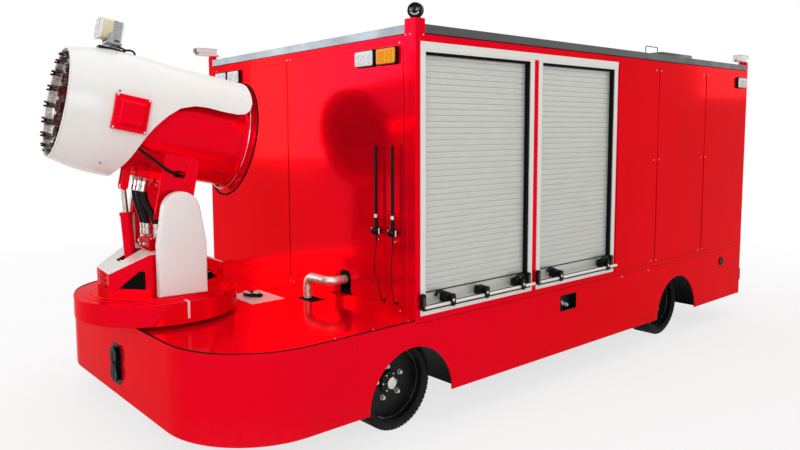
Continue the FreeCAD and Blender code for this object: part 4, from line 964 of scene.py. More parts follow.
# ---- tow points --------------------------------------------------------------------------
def tow_pin(name, way, box, wall, z, reach):
    """Recess plate, rounded jaws and cross pin of one tow point, which reaches out from a wall along y."""
    x, jaw = (box[0].x + box[1].x) / 2, 0.047
    inner, outer, pin = wall - way * 0.0015, wall + way * reach, wall + way * (reach - 0.0105)
    bm = bmesh.new()
    plate(bm, (x - 0.062, wall - way * 0.001, z - 0.110), (x + 0.062, wall + way * 0.002, z + 0.108), 0.045, steps=6)
    for dz in (0.046, -0.046):
        rod(bm, (x, min(inner, outer), z + dz), (x, max(inner, outer), z + dz), jaw, jaw * 0.82, steps=32)
    block(bm, (x - 0.030, inner, z - 0.05), (x + 0.030, outer, z + 0.05))
    rod(bm, (x, pin, z - 0.075), (x, pin, z + 0.072), 0.0125)
    piece(name, bm, moulded_black, soften=0.002)


class ROBOT_OT_tow(bpy.types.Operator):
    """Tow jaws with their cross pins and recess plates"""
    bl_idname = "robot.tow"
    bl_label = "Tow points"

    def execute(self, context):
        dress(chassis_paint, 0.002, "tow_hitches")
        front, rear = solids("tow_hitches")
        tow_pin("front_tow_pin", -1, front, FRONT, 0.348, 0.0225)
        tow_pin("rear_tow_pin", 1, rear, REAR, 0.320, 0.0165)
        return {"FINISHED"}


# ---- walls and roof ----------------------------------------------------------------------
PANEL_TOP, PANEL_SOFT = 1.932, 0.0022
LOW_LEDGE = 0.052               # strip of wall that shows above the deck
SIDE_SEAMS = (3.374, 4.056)     # middle of the strips behind the shutters, from the front


def wall_layer(name, maker, strip, grow, proud, soften):
    """Panels of all four walls, with a strip of frame left between each and the next, grown all round."""
    bm = bmesh.new()
    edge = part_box("front_wall")[1].x
    seams = [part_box("shutter_frames")[1].y] + [FRONT + s for s in SIDE_SEAMS] + [REAR - 0.033]
    for origin, turn, edges, bottom in (
            ((0, WALL_FRONT, 0), 0, (-edge, -0.033, edge - 0.004), DECK_TOP + LOW_LEDGE),
            ((0, REAR, 0), math.pi, (-edge, -0.38, 0.38, edge), WALL_BOTTOM + 0.03),
            ((HALF, 0, 0), math.pi / 2, seams, WALL_BOTTOM + 0.03),
            ((-HALF, 0, 0), -math.pi / 2, [-y for y in reversed(seams)], WALL_BOTTOM + 0.03)):
        wall = Matrix.Translation(origin) @ Matrix.Rotation(turn, 4, "Z")
        for a, b in zip(edges, edges[1:]):
            plate(bm, (a + strip / 2 - grow, -proud, bottom - grow), (b - strip / 2 + grow, 0.001, PANEL_TOP + grow),
                  0.004, wall)
    piece(name, bm, maker, soften=soften)


def panel_plugs(radius):
    """Small bright plugs where the panels' corners meet the frame."""
    bm = bmesh.new()
    for x in (-0.94, -0.052, -0.014, 0.94):
        for z in (DECK_TOP + 0.03, PANEL_TOP + 0.014):
            screw(bm, towards((x, WALL_FRONT, z), (0, -1, 0)), radius)
    for side in (-1, 1):
        for s in SIDE_SEAMS:
            for dy in (-0.033, 0.033):
                for z in (WALL_BOTTOM + 0.045, 1.315, PANEL_TOP - 0.014):
                    screw(bm, towards((side * (HALF + 0.003), FRONT + s + dy, z), (side, 0, 0)), radius * 0.9)
        screw(bm, towards((side * (HALF + 0.001), WALL_FRONT + 0.052, PANEL_TOP + 0.044), (side, 0, 0)), radius * 0.8)
    for x in (0.984, 1.016):
        screw(bm, towards((x, WALL_FRONT - 0.001, PANEL_TOP + 0.046), (0, -1, 0)), radius * 0.8)
    piece("panel_plugs", bm, zinc_plate)


def roof_fittings():
    """Raised hatch lid, front face of the roof's edge in a paler copy of the trim's colour that is a painted highlight,
    and the seal under it, head of the left front post, rear buffers and lifting loops."""
    lone("roof_hatch", anodised_trim, plate, (0.30, FRONT + 3.646, ROOF_TOP - 0.006),
         (0.93, FRONT + 4.095, ROOF_TOP + 0.046), 0.012, soften=0.003)
    trim_x, post_x = -HALF + 0.058, 0.975
    # the roof edge's front face in the paler copy of the trim's colour, a painted highlight
    lone("front_trim_face", pale_trim, block, (trim_x, WALL_FRONT - 0.0012, TRIM_BOTTOM + 0.001),
         (post_x - 0.001, WALL_FRONT + 0.001, ROOF_TOP - 0.001))
    black_strip, buffers, loops = bmesh.new(), bmesh.new(), bmesh.new()
    block(black_strip, (trim_x, WALL_FRONT - 0.0015, TRIM_BOTTOM - 0.004),
          (post_x - 0.001, WALL_FRONT + 0.001, TRIM_BOTTOM + 0.001))
    for side in (-1, 1):
        block(black_strip, (side * (HALF - 0.001), WALL_FRONT + 0.064, TRIM_BOTTOM - 0.004),
              (side * (HALF + 0.0012), REAR - 0.034, TRIM_BOTTOM + 0.0005))
        plate(buffers, (side * 0.985, REAR, 0.285), (side * (HALF - 0.001), REAR + 0.0195, 0.382), 0.006)
    piece("trim_seal", black_strip, seal_rubber)
    lone("post_head", red_enamel, plate, (post_x, WALL_FRONT - 0.0012, TRIM_BOTTOM - 0.016),
         (HALF + 0.0012, WALL_FRONT + 0.064, POST_TOP), 0.002, soften=0.002)
    piece("rear_buffers", buffers, moulded_black, soften=0.003)
    half, foot, top = 0.078, ROOF_TOP - 0.004, ROOF_TOP + 0.056
    bend = [(half, foot), (half, top - 0.012), (half - 0.002, top - 0.002), (half - 0.014, top)]
    for x in (0.99, -0.99):
        bent_rod(loops, [(x, FRONT + 3.385 - dy, z) for dy, z in bend]
                 + [(x, FRONT + 3.385 + dy, z) for dy, z in reversed(bend)], 0.003)
    piece("roof_loops", loops, anodised_trim)


class ROBOT_OT_body(bpy.types.Operator):
    """Body walls with their raised panels, corner posts, roof edge and roof fittings"""
    bl_idname = "robot.body"
    bl_label = "Body"

    def execute(self, context):
        settings = context.scene.robot_body
        dress(red_enamel, 0.002, "front_wall", "left_wall", "right_wall", "rear_wall", "corner_posts", "roof_panel")
        dress(anodised_trim, 0.003, "roof_trim")
        dress(chassis_paint, 0.001, "body_floor")
        dress(moulded_black, 0.004, "power_pack")
        # the black layer is slightly larger than the panels and shows as a fine dark line round each: painted shade in
        # the joints
        wall_layer("wall_panels", red_enamel, settings.strip, 0, settings.panel, PANEL_SOFT)
        wall_layer("panel_joints", seal_rubber, settings.strip, 0.002, 0.0008, 0)
        panel_plugs(settings.rivet)
        roof_fittings()
        return {"FINISHED"}


# ---- shutters ----------------------------------------------------------------------------
# side view of one slat, a slightly bowed face with a deep narrow joint: share of the pitch, share of the bulge
SLAT = ((0.0, -1.2), (0.05, -1.2), (0.085, 0.45), (0.25, 0.85), (0.55, 1.0), (0.82, 0.8), (0.965, 0.4))


def curtain(n, low, high, settings):
    """Slats of one shutter, its plain bottom rail and black strips at its foot that are painted shade under the slats
    and round the lift bar.
    """
    side = side_of(low)
    face = high.x if side > 0 else -low.x
    bottom, bulge = low.z + settings.rail, settings.bulge
    slats = round((high.z - bottom) / settings.slat)
    pitch = (high.z - bottom) / slats
    bm = bmesh.new()
    verts = [bm.verts.new((side * (face - bulge + out * bulge), low.y, bottom + (row + z) * pitch))
             for row in range(slats) for z, out in SLAT]
    edges = [bm.edges.new(pair) for pair in zip(verts, verts[1:])]
    swept = bmesh.ops.extrude_edge_only(bm, edges=edges)
    moved = [v for v in swept["geom"] if isinstance(v, bmesh.types.BMVert)]
    bmesh.ops.translate(bm, vec=(0, high.y - low.y, 0), verts=moved)
    bmesh.ops.recalc_face_normals(bm, faces=bm.faces)
    if bm.faces[:][0].normal.x * side < 0:
        bmesh.ops.reverse_faces(bm, faces=bm.faces)
    bmesh.ops.solidify(bm, geom=bm.faces[:], thickness=0.0015)
    name = "shutter_" + str(n)
    piece(name + "_slats", bm, rolled_slats, replaces=("shutters",) if n == 0 else (), angle=40)
    rail, black_strip = bmesh.new(), bmesh.new()
    plate(rail, (side * (face - 0.012), low.y, low.z - 0.004), (side * (face - 0.006), high.y, bottom - 0.001), 0.001)
    block(rail, (side * (face - 0.008), low.y, low.z - 0.001), (side * (HALF + 0.0028), high.y, low.z + 0.004))
    piece(name + "_rail", rail, rolled_slats, soften=0.001)
    # black strips at the foot: painted shade under the slats and above and below the lift bar
    block(black_strip, (side * (face - 0.006), low.y, bottom - 0.005), (side * (face - 0.001), high.y, bottom - 0.001))
    inner, outer = side * (HALF - 0.001), side * (HALF + 0.005)
    block(black_strip, (inner, low.y, 0.650), (outer, high.y, 0.6555))
    block(black_strip, (inner, low.y - 0.020, 0.627), (outer, high.y + 0.020, 0.636))
    piece(name + "_foot_seal", black_strip, seal_rubber)


def shutter_seals():
    """Black strips inside the frames and under each header: painted shade of the recess the curtains sit in."""
    bm = bmesh.new()
    for low, high in solids("shutters"):
        inner, outer = side_of(low) * (HALF - 0.022), side_of(low) * (HALF - 0.004)
        for front, rear in ((low.y, low.y + 0.006), (high.y - 0.020, high.y)):
            block(bm, (inner, front, low.z), (outer, rear, high.z))
        block(bm, (inner, low.y, high.z - 0.013), (outer, high.y, high.z))
    piece("shutter_seals", bm, seal_rubber)


def header():
    """One header section over both shutters of a side."""
    bm = bmesh.new()
    low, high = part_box("shutter_frames")
    for side in (-1, 1):
        block(bm, (side * (HALF - 0.001), low.y - 0.001, high.z - 0.036),
              (side * (HALF + 0.0048), high.y + 0.001, high.z + 0.001))
    piece("shutter_header", bm, drawn_frames, soften=0.0012)


def lift_bar(n, low, high):
    """Lift bar across the foot of a shutter: round bar, its carriers, their levers and the end latches."""
    side, z = side_of(low), 0.652
    out = high.x if side > 0 else -low.x

    def at(depth, y, height):
        """Point that far in from the bar's outermost face."""
        return side * (out - depth), y, z + height

    lone("lift_bar_" + str(n), drawn_frames, rod, at(0.019, low.y - 0.022, 0), at(0.019, high.y + 0.020, 0), 0.0082,
         soften=0.001)
    black, flags, bright = bmesh.new(), bmesh.new(), bmesh.new()
    for y in [low.y + 0.150, high.y - 0.105] + ([(low.y + high.y) / 2] if high.y - low.y > 0.78 else []):
        plate(black, (side * 1.030, y - 0.026, z - 0.004), at(0.026, y + 0.014, 0.050), 0.014)
        plate(black, at(0.036, y - 0.004, -0.018), at(0.006, y + 0.030, 0.046), 0.014, steps=5)
        rod(bright, at(0.006, y + 0.012, 0.014), at(0.005, y + 0.012, 0.014), 0.0075)
    for y in (low.y - 0.022, high.y - 0.012):
        plate(black, (side * (HALF + 0.003), y - 0.014, z - 0.018), at(0.030, y + 0.014, 0.066), 0.010)
        plate(flags, at(0.031, y - 0.008, 0.006), at(0.028, y + 0.008, 0.050), 0.003)
    for y, way in ((low.y, 1), (high.y, -1)):
        bent_rod(black, [at(depth, y + way * dy, height) for depth, dy, height in
                         ((0.036, 0.060, 0.044), (0.034, 0.066, 0.062), (0.034, 0.100, 0.066), (0.036, 0.136, 0.050))],
                 0.009)
    piece("shutter_latches_" + str(n), black, moulded_black, soften=0.0018)
    piece("latch_flags_" + str(n), flags, maroon_cap)
    piece("latch_screws_" + str(n), bright, zinc_plate)


class ROBOT_OT_shutters(bpy.types.Operator):
    """Roller shutters: slats, bottom rails, black strips of painted shade in their frames and at their feet, lift bars
    and latches
    """
    bl_idname = "robot.shutters"
    bl_label = "Shutters"

    def execute(self, context):
        dress(drawn_frames, 0.0015, "shutter_frames")
        for n, box in enumerate(solids("shutters")):
            curtain(n, *box, context.scene.robot_body)
        shutter_seals()
        header()
        for n, box in enumerate(solids("shutter_bars")):
            lift_bar(n, *box)
        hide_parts("shutter_bars")
        return {"FINISHED"}


# ---- lamps -------------------------------------------------------------------------------
def lamp_kind(low, high):
    """Which way a lamp faces and the lens it has."""
    if high.y < 0:
        return Vector((0, -1, 0)), amber_lens if max(abs(low.x), abs(high.x)) > 0.93 else clear_lens
    if low.z > 1:
        return Vector((side_of(low), 0, 0)), clear_lens
    return Vector((0, 1, 0)), red_lens


def lamp(n, low, high):
    """One lamp: black bezel, domed lens and three rows of four raised optics."""
    way, maker = lamp_kind(low, high)
    across = UP.cross(way)
    deep = abs((high - low).dot(way))
    place = frame_of(across, UP, way, (low + high) / 2 - way * deep / 2)
    edge, wide, tall = 0.0065, abs((high - low).dot(across)) - 0.012, high.z - low.z
    x, y = wide / 2, tall / 2
    lone("lamp_%d_bezel" % n, moulded_black, plate, (-x, -y, 0), (x, y, deep * 0.72), 0.014, place, 5, soften=0.002)
    lone("lamp_%d_lens" % n, maker, plate, (-x + edge, -y + edge, deep * 0.6), (x - edge, y - edge, deep * 0.94),
         0.011, place, 5, soften=0.007)
    optics = bmesh.new()
    for row in range(3):
        for column in range(4):
            spot = ((column - 1.5) * (wide - 6 * edge) / 4, (row - 1) * (tall - 6 * edge) / 3, deep * 0.92)
            ball(optics, spot, min(wide / 4, tall / 3) * 0.4, (1, 1, 0.45), place, 6)
    piece("lamp_%d_optics" % n, optics, maker)


class ROBOT_OT_lamps(bpy.types.Operator):
    """Flashing lamps on the front wall, side lamps and tail lamps"""
    bl_idname = "robot.lamps"
    bl_label = "Lamps"

    def execute(self, context):
        for n, box in enumerate(sorted(solids("signal_lamps"), key=lambda box: (box[0].y, box[0].x))):
            lamp(n, *box)
        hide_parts("signal_lamps")
        return {"FINISHED"}


# ---- cameras on the corner posts ---------------------------------------------------------
DOME_RADIUS, DOME_RISE = 0.040, 0.037
CAMERA_LENGTH, CAMERA_RISE = 0.160, 0.0265


def dome_camera(low, high):
    """Black dome on a short foot, with two eyes and a row of small lights in the collar it looks through."""
    foot = Vector(((low.x + high.x) / 2, (low.y + high.y) / 2, POST_TOP))
    middle, r = foot + UP * DOME_RISE, DOME_RADIUS
    place = towards(middle, Vector((0.62, -0.78, -0.05)).normalized())
    shell, eyes, lights = bmesh.new(), bmesh.new(), bmesh.new()
    rod(shell, foot, foot + UP * 0.010, 0.026)
    ball(shell, middle, r, (1, 1, 0.94), steps=24)
    turned(shell, [(r * 0.62, r * 0.9), (r * 0.80, r * 0.86), (r * 0.9, r * 0.76), (r * 0.86, r * 0.66),
                   (r * 0.6, r * 0.6)], place, 48)
    piece("dome_shell", shell, moulded_black)
    for x in (-0.015, 0.015):
        turned(eyes, [(0, 0.012), (r * 0.95, 0.012), (r * 1.03, 0.010), (r * 1.0, 0.007), (r * 0.97, 0)],
               place @ Matrix.Translation((x, 0.002, 0)), 32, closed=False)
    piece("dome_eyes", eyes, camera_glass)
    for n in range(5):
        ball(lights, polar(r * 0.52, math.radians(215 + 27 * n), r * 0.86), 0.0045, (1, 1, 0.5), place, 6)
    piece("dome_leds", lights, clear_lens)


def hooded_camera(n, low, high):
    """Camera in a rounded white housing: swivel foot, sun hood reaching past the dark window, and its cable."""
    way = -1 if low.y < 0 else 1
    x, z, reach = (low.x + high.x) / 2, POST_TOP + CAMERA_RISE, CAMERA_LENGTH
    foot = (low.y + high.y) / 2 - way * 0.012
    tail = Vector((x, (WALL_FRONT - 0.120 if way < 0 else REAR + 0.016) - way * reach, z))
    place = frame_of(UP.cross(Vector((0, way, 0))), UP, (0, way, 0), tail)
    name = "camera_%d" % n
    shell = bmesh.new()
    plate(shell, (-0.029, -0.024, 0), (0.029, 0.022, reach - 0.018), 0.010, place)
    for dx in (-0.029, 0.029):
        block(shell, (dx - 0.0015, -0.004, 0.020), (dx + 0.0015, 0.024, reach - 0.004), place)
    plate(shell, (-0.0305, 0.022, -0.003), (0.0305, 0.026, reach), 0.008, place)
    rod(shell, (x, foot, POST_TOP), (x, foot, POST_TOP + 0.006), 0.020)
    rod(shell, (x, foot, POST_TOP + 0.006), (x, foot, z - 0.020), 0.010)
    piece(name + "_shell", shell, white_shell, soften=0.003)
    lone(name + "_glass", camera_glass, plate, (-0.024, -0.019, reach - 0.020), (0.024, 0.018, reach - 0.015), 0.006,
         place)
    cable = [tail + Vector((0, way * dy, dz)) for dy, dz in ((0, -0.010), (-0.016, -0.012), (-0.020, -0.026))]
    lone(name + "_tail", moulded_black, bent_rod, cable + [Vector((x, tail.y - way * 0.004, POST_TOP + 0.004))], 0.003)


class ROBOT_OT_cameras(bpy.types.Operator):
    """Dome camera on the left front post and hooded cameras on the other posts"""
    bl_idname = "robot.cameras"
    bl_label = "Cameras"

    def execute(self, context):
        found = solids("corner_cameras")
        dome = max(found, key=lambda box: box[0].x - box[0].y)
        dome_camera(*dome)
        for n, box in enumerate(box for box in found if box is not dome):
            hooded_camera(n, *box)
        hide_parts("corner_cameras")
        return {"FINISHED"}


# ---- aerials -----------------------------------------------------------------------------
def whip(black, bright, low, high):
    """One aerial: foot, spring, sleeve and whip, with the clamp that holds it to the wall."""
    x, y, foot, reach = (low.x + high.x) / 2, WALL_FRONT - LEAD_OUT, low.z, high.z - low.z
    place = Matrix.Translation((x, y, foot))
    turned(black, [(0, 0), (0, 0.0045), (0.040, 0.0045), (0.044, 0.014), (0.050, 0.025), (0.057, 0.029),
                   (0.066, 0.029), (0.073, 0.021), (0.077, 0.0105), (0.128, 0.0092), (0.128, 0.0070),
                   (0.149, 0.0070), (0.149, 0.0085), (reach - 0.004, 0.0078), (reach, 0.005), (reach, 0)],
           place, 32, closed=False)
    turned(bright, [(0.129, 0.0072), (0.129, 0.0105), (0.148, 0.0105), (0.148, 0.0084)], place, 32)
    for dx in (-0.027, 0.027):
        rod(bright, (x + dx, y - 0.004, foot + 0.048), (x + dx, y - 0.004, foot + 0.076), 0.005, steps=12)
    plate(bright, (x - 0.012, y + 0.004, foot + 0.014), (x + 0.012, WALL_FRONT - 0.002, foot + 0.020), 0.002)


class ROBOT_OT_aerials(bpy.types.Operator):
    """Two whip aerials on the front wall with clamps, springs and grommets"""
    bl_idname = "robot.aerials"
    bl_label = "Aerials"

    def execute(self, context):
        black, bright = bmesh.new(), bmesh.new()
        for low, high in solids("aerials"):
            if high.z - low.z > 0.1:
                whip(black, bright, low, high)
            else:
                turned(black, [(0, 0.012), (0.003, 0.012), (0.006, 0.006), (0.008, 0.0055), (0.008, 0.0026),
                               (0, 0.0026)],
                       towards(((low.x + high.x) / 2, high.y, (low.z + high.z) / 2), (0, -1, 0)), 24)
        piece("aerial_whips", black, moulded_black, replaces=("aerials",))
        piece("aerial_clamps", bright, zinc_plate, soften=0.0006)
        return {"FINISHED"}


# ---- water pipe --------------------------------------------------------------------------
class ROBOT_OT_pipe(bpy.types.Operator):
    """Galvanised water pipe from the deck into the body, with the rubber collar at its foot"""
    bl_idname = "robot.pipe"
    bl_label = "Water pipe"

    def execute(self, context):
        dress(galvanised, 0.0015, "water_pipe")
        lone("pipe_collar", seal_rubber, turned,
             [(0, 0.0245), (0, 0.032), (0.003, 0.032), (0.005, 0.029), (0.005, 0.0245)],
             Matrix.Translation((PIPE_X, PIPE_Y, DECK_TOP)), 48, soften=0.001)
        return {"FINISHED"}


# ---- underframe --------------------------------------------------------------------------
class ROBOT_OT_underframe(bpy.types.Operator):
    """Rails, cross members, axles, springs, knuckles and track rod with their bolts"""
    bl_idname = "robot.underframe"
    bl_label = "Underframe"

    def execute(self, context):
        dress(chassis_paint, 0.0015, "frame_rails", "cross_members", "front_axle", "rear_axle", "leaf_springs",
              "left_knuckle", "right_knuckle", "track_rod")
        bolts, clips, liners = bmesh.new(), bmesh.new(), bmesh.new()
        for y in AXLES:
            for low, high in solids("leaf_springs"):
                if low.y < y < high.y:
                    for dy in (-0.045, 0.045):
                        for x in (low.x - 0.007, high.x + 0.007):
                            rod(bolts, (x, y + dy, low.z - 0.02), (x, y + dy, high.z + 0.022), 0.006, steps=10)
                    for dy in (-0.26, 0.26):
                        block(clips, (low.x - 0.003, y + dy - 0.015, low.z + 0.02),
                              (high.x + 0.003, y + dy + 0.015, low.z + 0.045))
            for side in (-1, 1):
                plate(liners, (side * 0.630, y - 0.30, 0.150), (side * 0.636, y + 0.30, 0.500), 0.04)
        piece("spring_bolts", bolts, zinc_plate)
        piece("spring_clips", clips, chassis_paint, soften=0.001)
        piece("wheel_liners", liners, moulded_black, soften=0.002)
        return {"FINISHED"}


# ---- wheels ------------------------------------------------------------------------------
def tyre(end, place, low, high, settings):
    """Tyre with a rim bead, two raised rings on its outer wall and five rows of tread blocks."""
    r, half, blocks = (high.z - low.z) / 2, (high.x - low.x) / 2, settings.blocks
    floor, bead = r - settings.groove, 0.1885
    bm, tread = bmesh.new(), bmesh.new()
    wall = [(half - 0.018, floor), (half - 0.008, r - 0.010), (half - 0.001, r - 0.020), (half, bead + 0.016),
            (half - 0.004, bead + 0.006), (half - 0.012, bead)]
    turned(bm, [(-z, radius) for z, radius in reversed(wall)] + wall, place, 120)
    for z in (half - 0.004, half - 0.0025):
        turned(bm, [(z, bead + 0.013), (z + 0.0025, bead + 0.0145), (z, bead + 0.016)], place, 96)
    pitch = math.tau * r / blocks
    for row, (a, b) in enumerate(((-half + 0.012, -half + 0.036), (-0.040, -0.015), (-0.010, 0.010), (0.015, 0.040),
                                  (half - 0.036, half - 0.012))):
        turn = Matrix.Rotation(math.pi / blocks * (row % 2), 4, "Z")
        verts = block(tread, (floor - 0.003, -pitch * 0.38, a), (r - 0.0004, pitch * 0.38, b), turn)
        parts = dict.fromkeys([e for v in verts for e in v.link_edges] + [f for v in verts for f in v.link_faces])
        bmesh.ops.spin(tread, geom=verts + list(parts), axis=UP, cent=(0, 0, 0), steps=blocks - 1,
                       angle=math.tau * (blocks - 1) / blocks, use_duplicate=True)
    merge(bm, tread, place)
    node = "tyre_" + end
    piece(node + "_rubber", bm, tyre_rubber, frame["nodes"][node]["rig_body"], (node,), soften=0.0012, angle=40)


def wheel_centre(end, place, settings):
    """Nuts, hub cap, valve and the bright step inside the rim."""
    body, face = frame["nodes"]["rim_" + end]["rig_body"], 0.012
    bm, valve = bmesh.new(), bmesh.new()
    for n in range(settings.nuts):
        spot = polar(settings.nut_circle, math.tau * (n + 0.35) / settings.nuts, face)
        nut(bm, place @ Matrix.Translation(spot), 0.0115, 0.016)
    turned(bm, [(face + 0.0155, 0.036), (face + 0.020, 0.036), (face + 0.034, 0.031), (face + 0.038, 0.024),
                (face + 0.038, 0)], place, 40, closed=False)
    for n in range(6):
        screw(bm, place @ Matrix.Translation(polar(0.046, math.tau * n / 6, face + 0.016)), 0.005)
    piece("wheel_" + end + "_nuts", bm, zinc_plate, body, soften=0.0006)
    lone("wheel_" + end + "_step", stainless, turned,
         [(0.0305, 0.1818), (0.0305, 0.1795), (0.0325, 0.1790), (0.0345, 0.1795), (0.0345, 0.1818)], place, 96,
         body=body)
    foot = polar(0.155, 2.1, face)
    bend = foot + UP * 0.012
    rod(valve, foot, bend, 0.006, place=place)
    rod(valve, bend, foot + polar(0.012, 2.1, 0.034), 0.004, place=place)
    piece("wheel_" + end + "_valve", valve, moulded_black, body)


class ROBOT_OT_wheels(bpy.types.Operator):
    """Tyres with their tread, rims, hubs and wheel nuts"""
    bl_idname = "robot.wheels"
    bl_label = "Wheels"

    def execute(self, context):
        settings = context.scene.robot_wheels
        for end in ("front_left", "front_right", "rear_left", "rear_right"):
            low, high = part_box("tyre_" + end)
            place = towards((low + high) / 2, (side_of(low), 0, 0))
            tyre(end, place, low, high, settings)
            dress(chassis_paint, 0.002, "rim_" + end)
            wheel_centre(end, place, settings)
        return {"FINISHED"}


# ---- turntable ---------------------------------------------------------------------------
DRUM_TOP = 0.711
BASE_BOTTOM, BASE_FRONT, BASE_REAR = 0.723, 0.273, 0.318
# height of the lids' level part, where their slopes start, and how far these drop
LID_TOP, LID_EDGE, LID_DROP = 0.925, 0.095, 0.092
COVER_IN, COVER_OUT = 0.262, 0.315
COVER_HALF, COVER_TAPER, COVER_ROUND = 0.121, 0.975, 0.098


def pressed_covers():
    """White side covers, each pressed from one sheet with well rounded edges and open towards the yoke."""
    bm = bmesh.new()
    arc = [math.radians(10 + 160 * n / 18) for n in range(19)]
    outline = [(COVER_HALF, BASE_BOTTOM), (COVER_HALF, COVER_TAPER)]
    outline += [((COVER_ROUND - 0.004) * math.cos(a), PIVOT.z + COVER_ROUND * math.sin(a)) for a in arc]
    outline += [(-COVER_HALF, COVER_TAPER), (-COVER_HALF, BASE_BOTTOM)]
    for side in (-1, 1):
        part = bmesh.new()
        face = part.faces.new([part.verts.new((side * COVER_IN, PIVOT.y + y, z)) for y, z in outline])
        raised = bmesh.ops.extrude_face_region(part, geom=[face])["geom"]
        bmesh.ops.translate(part, vec=(side * (COVER_OUT - COVER_IN), 0, 0),
                            verts=[v for v in raised if isinstance(v, bmesh.types.BMVert)])
        rim = [e for e in raised if isinstance(e, bmesh.types.BMEdge)]
        bmesh.ops.bevel(part, geom=rim, offset=0.010, segments=5, profile=0.5, affect="EDGES", material=-1)
        bmesh.ops.recalc_face_normals(part, faces=part.faces)
        back = [f for f in part.faces if all(abs(v.co.x - side * COVER_IN) < 1e-5 for v in f.verts)]
        bmesh.ops.delete(part, geom=back, context="FACES_ONLY")
        bmesh.ops.solidify(part, geom=part.faces[:], thickness=0.003)
        merge(bm, part, TURN)
    piece("side_covers_finish", bm, white_enamel, "turntable", ("side_covers",), outward=False)


def index_strip():
    """Bright index strip folded over the drum's edge below the left side cover."""
    bm = bmesh.new()
    place = TURN @ Matrix.Rotation(math.radians(3.9), 4, "Z")
    block(bm, (0.3635, -0.006, DRUM_TOP - 0.0005), (0.4120, 0.006, DRUM_TOP + 0.0015), place)
    block(bm, (0.4098, -0.006, DRUM_TOP - 0.082), (0.4120, 0.006, DRUM_TOP), place)
    piece("index_strip", bm, drawn_frames, "turntable", soften=0.0004)


def louvres():
    """Pressed louvres in the front and rear face of the base: three wide slots, each under a hood, with black in each
    slot that is painted shade.
    """
    slots, hoods = bmesh.new(), bmesh.new()
    for y, way in ((-BASE_FRONT, -1), (BASE_REAR, 1)):
        for z in (0.750, 0.777, 0.804):
            block(slots, (-0.060, y - way * 0.001, z), (0.060, y + way * 0.0012, z + 0.011), TURN)
            plate(hoods, (-0.063, y - way * 0.001, z + 0.010), (0.063, y + way * 0.008, z + 0.015), 0.003, TURN)
    piece("louvre_slots", slots, seal_rubber, "turntable")
    piece("louvre_hoods", hoods, red_enamel, "turntable", soften=0.001)


def window_slats():
    """Black sheets behind the windows in the slanting sides, painted shade of the inside, with light slats in the rear
    ones.
    """
    dark, light = bmesh.new(), bmesh.new()
    for side in (-1, 1):
        for way, nose_y, reach in ((-1, 0.255, 0.158), (1, 0.300, 0.215)):
            # the slanting side runs from the shoulder to the nose
            shoulder = Vector((side * 0.203, way * 0.097, 0))
            along = (Vector((side * 0.116, way * nose_y, 0)) - shoulder).normalized()
            place = TURN @ frame_of(along, UP, along.cross(UP), shoulder)
            block(dark, (0.004, BASE_BOTTOM + 0.02, -0.001), (reach, 0.838, 0.001), place)
            if way > 0:
                for z in (0.790, 0.806, 0.822):
                    block(light, (0.060, z, -0.004), (reach - 0.03, z + 0.004, 0.004), place)
    piece("window_screens", dark, seal_rubber, "turntable")
    piece("window_slats", light, white_enamel, "turntable", soften=0.001)


def lid_rivets(radius):
    """Bright rivets along both edges of the sloping lids and across their low ends."""
    bm = bmesh.new()
    for way, end in ((-1, BASE_FRONT), (1, BASE_REAR)):
        slope = end - LID_EDGE
        rise = math.atan2(LID_DROP, slope)
        normal = Vector((0, way * math.sin(rise), math.cos(rise)))
        for along, wide in ((slope * 0.08, 0.200), (slope * 0.36, 0.186), (slope * 0.66, 0.152),
                            (slope * 0.94, 0.118), (slope - 0.014, 0.05)):
            for x in (-wide, wide):
                spot = (x, way * (LID_EDGE + along), LID_TOP - along * math.tan(rise))
                screw(bm, TURN @ towards(spot, normal), radius)
    piece("lid_rivets", bm, zinc_plate, "turntable")


def cover_rivets(radius):
    """Small dark rivets down the narrow front and rear faces of each side cover."""
    bm = bmesh.new()
    for side in (-1, 1):
        for way in (-1, 1):
            for z in (0.800, 0.885, 0.960, 1.100):
                wide = COVER_HALF - max(0, z - COVER_TAPER) * 0.15
                screw(bm, TURN @ towards((side * 0.290, PIVOT.y + way * wide, z), (0, way, 0)), radius)
    piece("cover_rivets", bm, chassis_paint, "turntable")


class ROBOT_OT_turntable(bpy.types.Operator):
    """Drum, base housing, white lids and side covers with their louvres, windows and rivets"""
    bl_idname = "robot.turntable"
    bl_label = "Turntable"

    def execute(self, context):
        radius = context.scene.robot_body.rivet
        dress(chassis_paint, 0.001, "slew_ring")
        dress(red_enamel, 0.003, "turntable_drum")
        dress(red_enamel, 0.0025, "base_housing")
        dress(white_enamel, 0.0012, "top_covers")
        pressed_covers()
        index_strip()
        louvres()
        window_slats()
        lid_rivets(radius)
        cover_rivets(radius * 0.7)
        return {"FINISHED"}


# ---- yoke and lift cylinder --------------------------------------------------------------
def valve_fittings():
    """Plugs, ports and screws of the valve block's front face; the fitting clear of the cylinder has a stem."""
    bright, black = bmesh.new(), bmesh.new()
    face = PIVOT.y - 0.110
    for x, z in ((-0.046, 0.962), (-0.020, 0.948), (0.094, 0.962)):
        place = TURN @ towards((x, face, z), (0, -1, 0))
        rod(bright, (0, 0, 0), (0, 0, 0.008), 0.010, steps=6, place=place)
        if x > 0:
            rod(bright, (0, 0, 0.008), (0, 0, 0.016), 0.006, steps=16, place=place)
            ball(bright, (0, 0, 0.018), 0.0085, place=place, steps=10)
    for x, z in ((0.0, 0.968), (0.030, 0.942), (0.058, 0.968), (0.104, 0.940), (-0.056, 0.938)):
        turned(black, [(0, 0.007), (0.0012, 0.007), (0.0012, 0.004), (-0.004, 0.004), (-0.004, 0)],
               TURN @ towards((x, face, z), (0, -1, 0)), 20, closed=False)
    for x in (-0.045, 0.100):
        screw(bright, TURN @ Matrix.Translation((x, face + 0.018, 0.985)), 0.007)
    piece("valve_fittings", bright, zinc_plate, "turntable", soften=0.0006)
    piece("valve_ports", black, moulded_black, "turntable", outward=False)


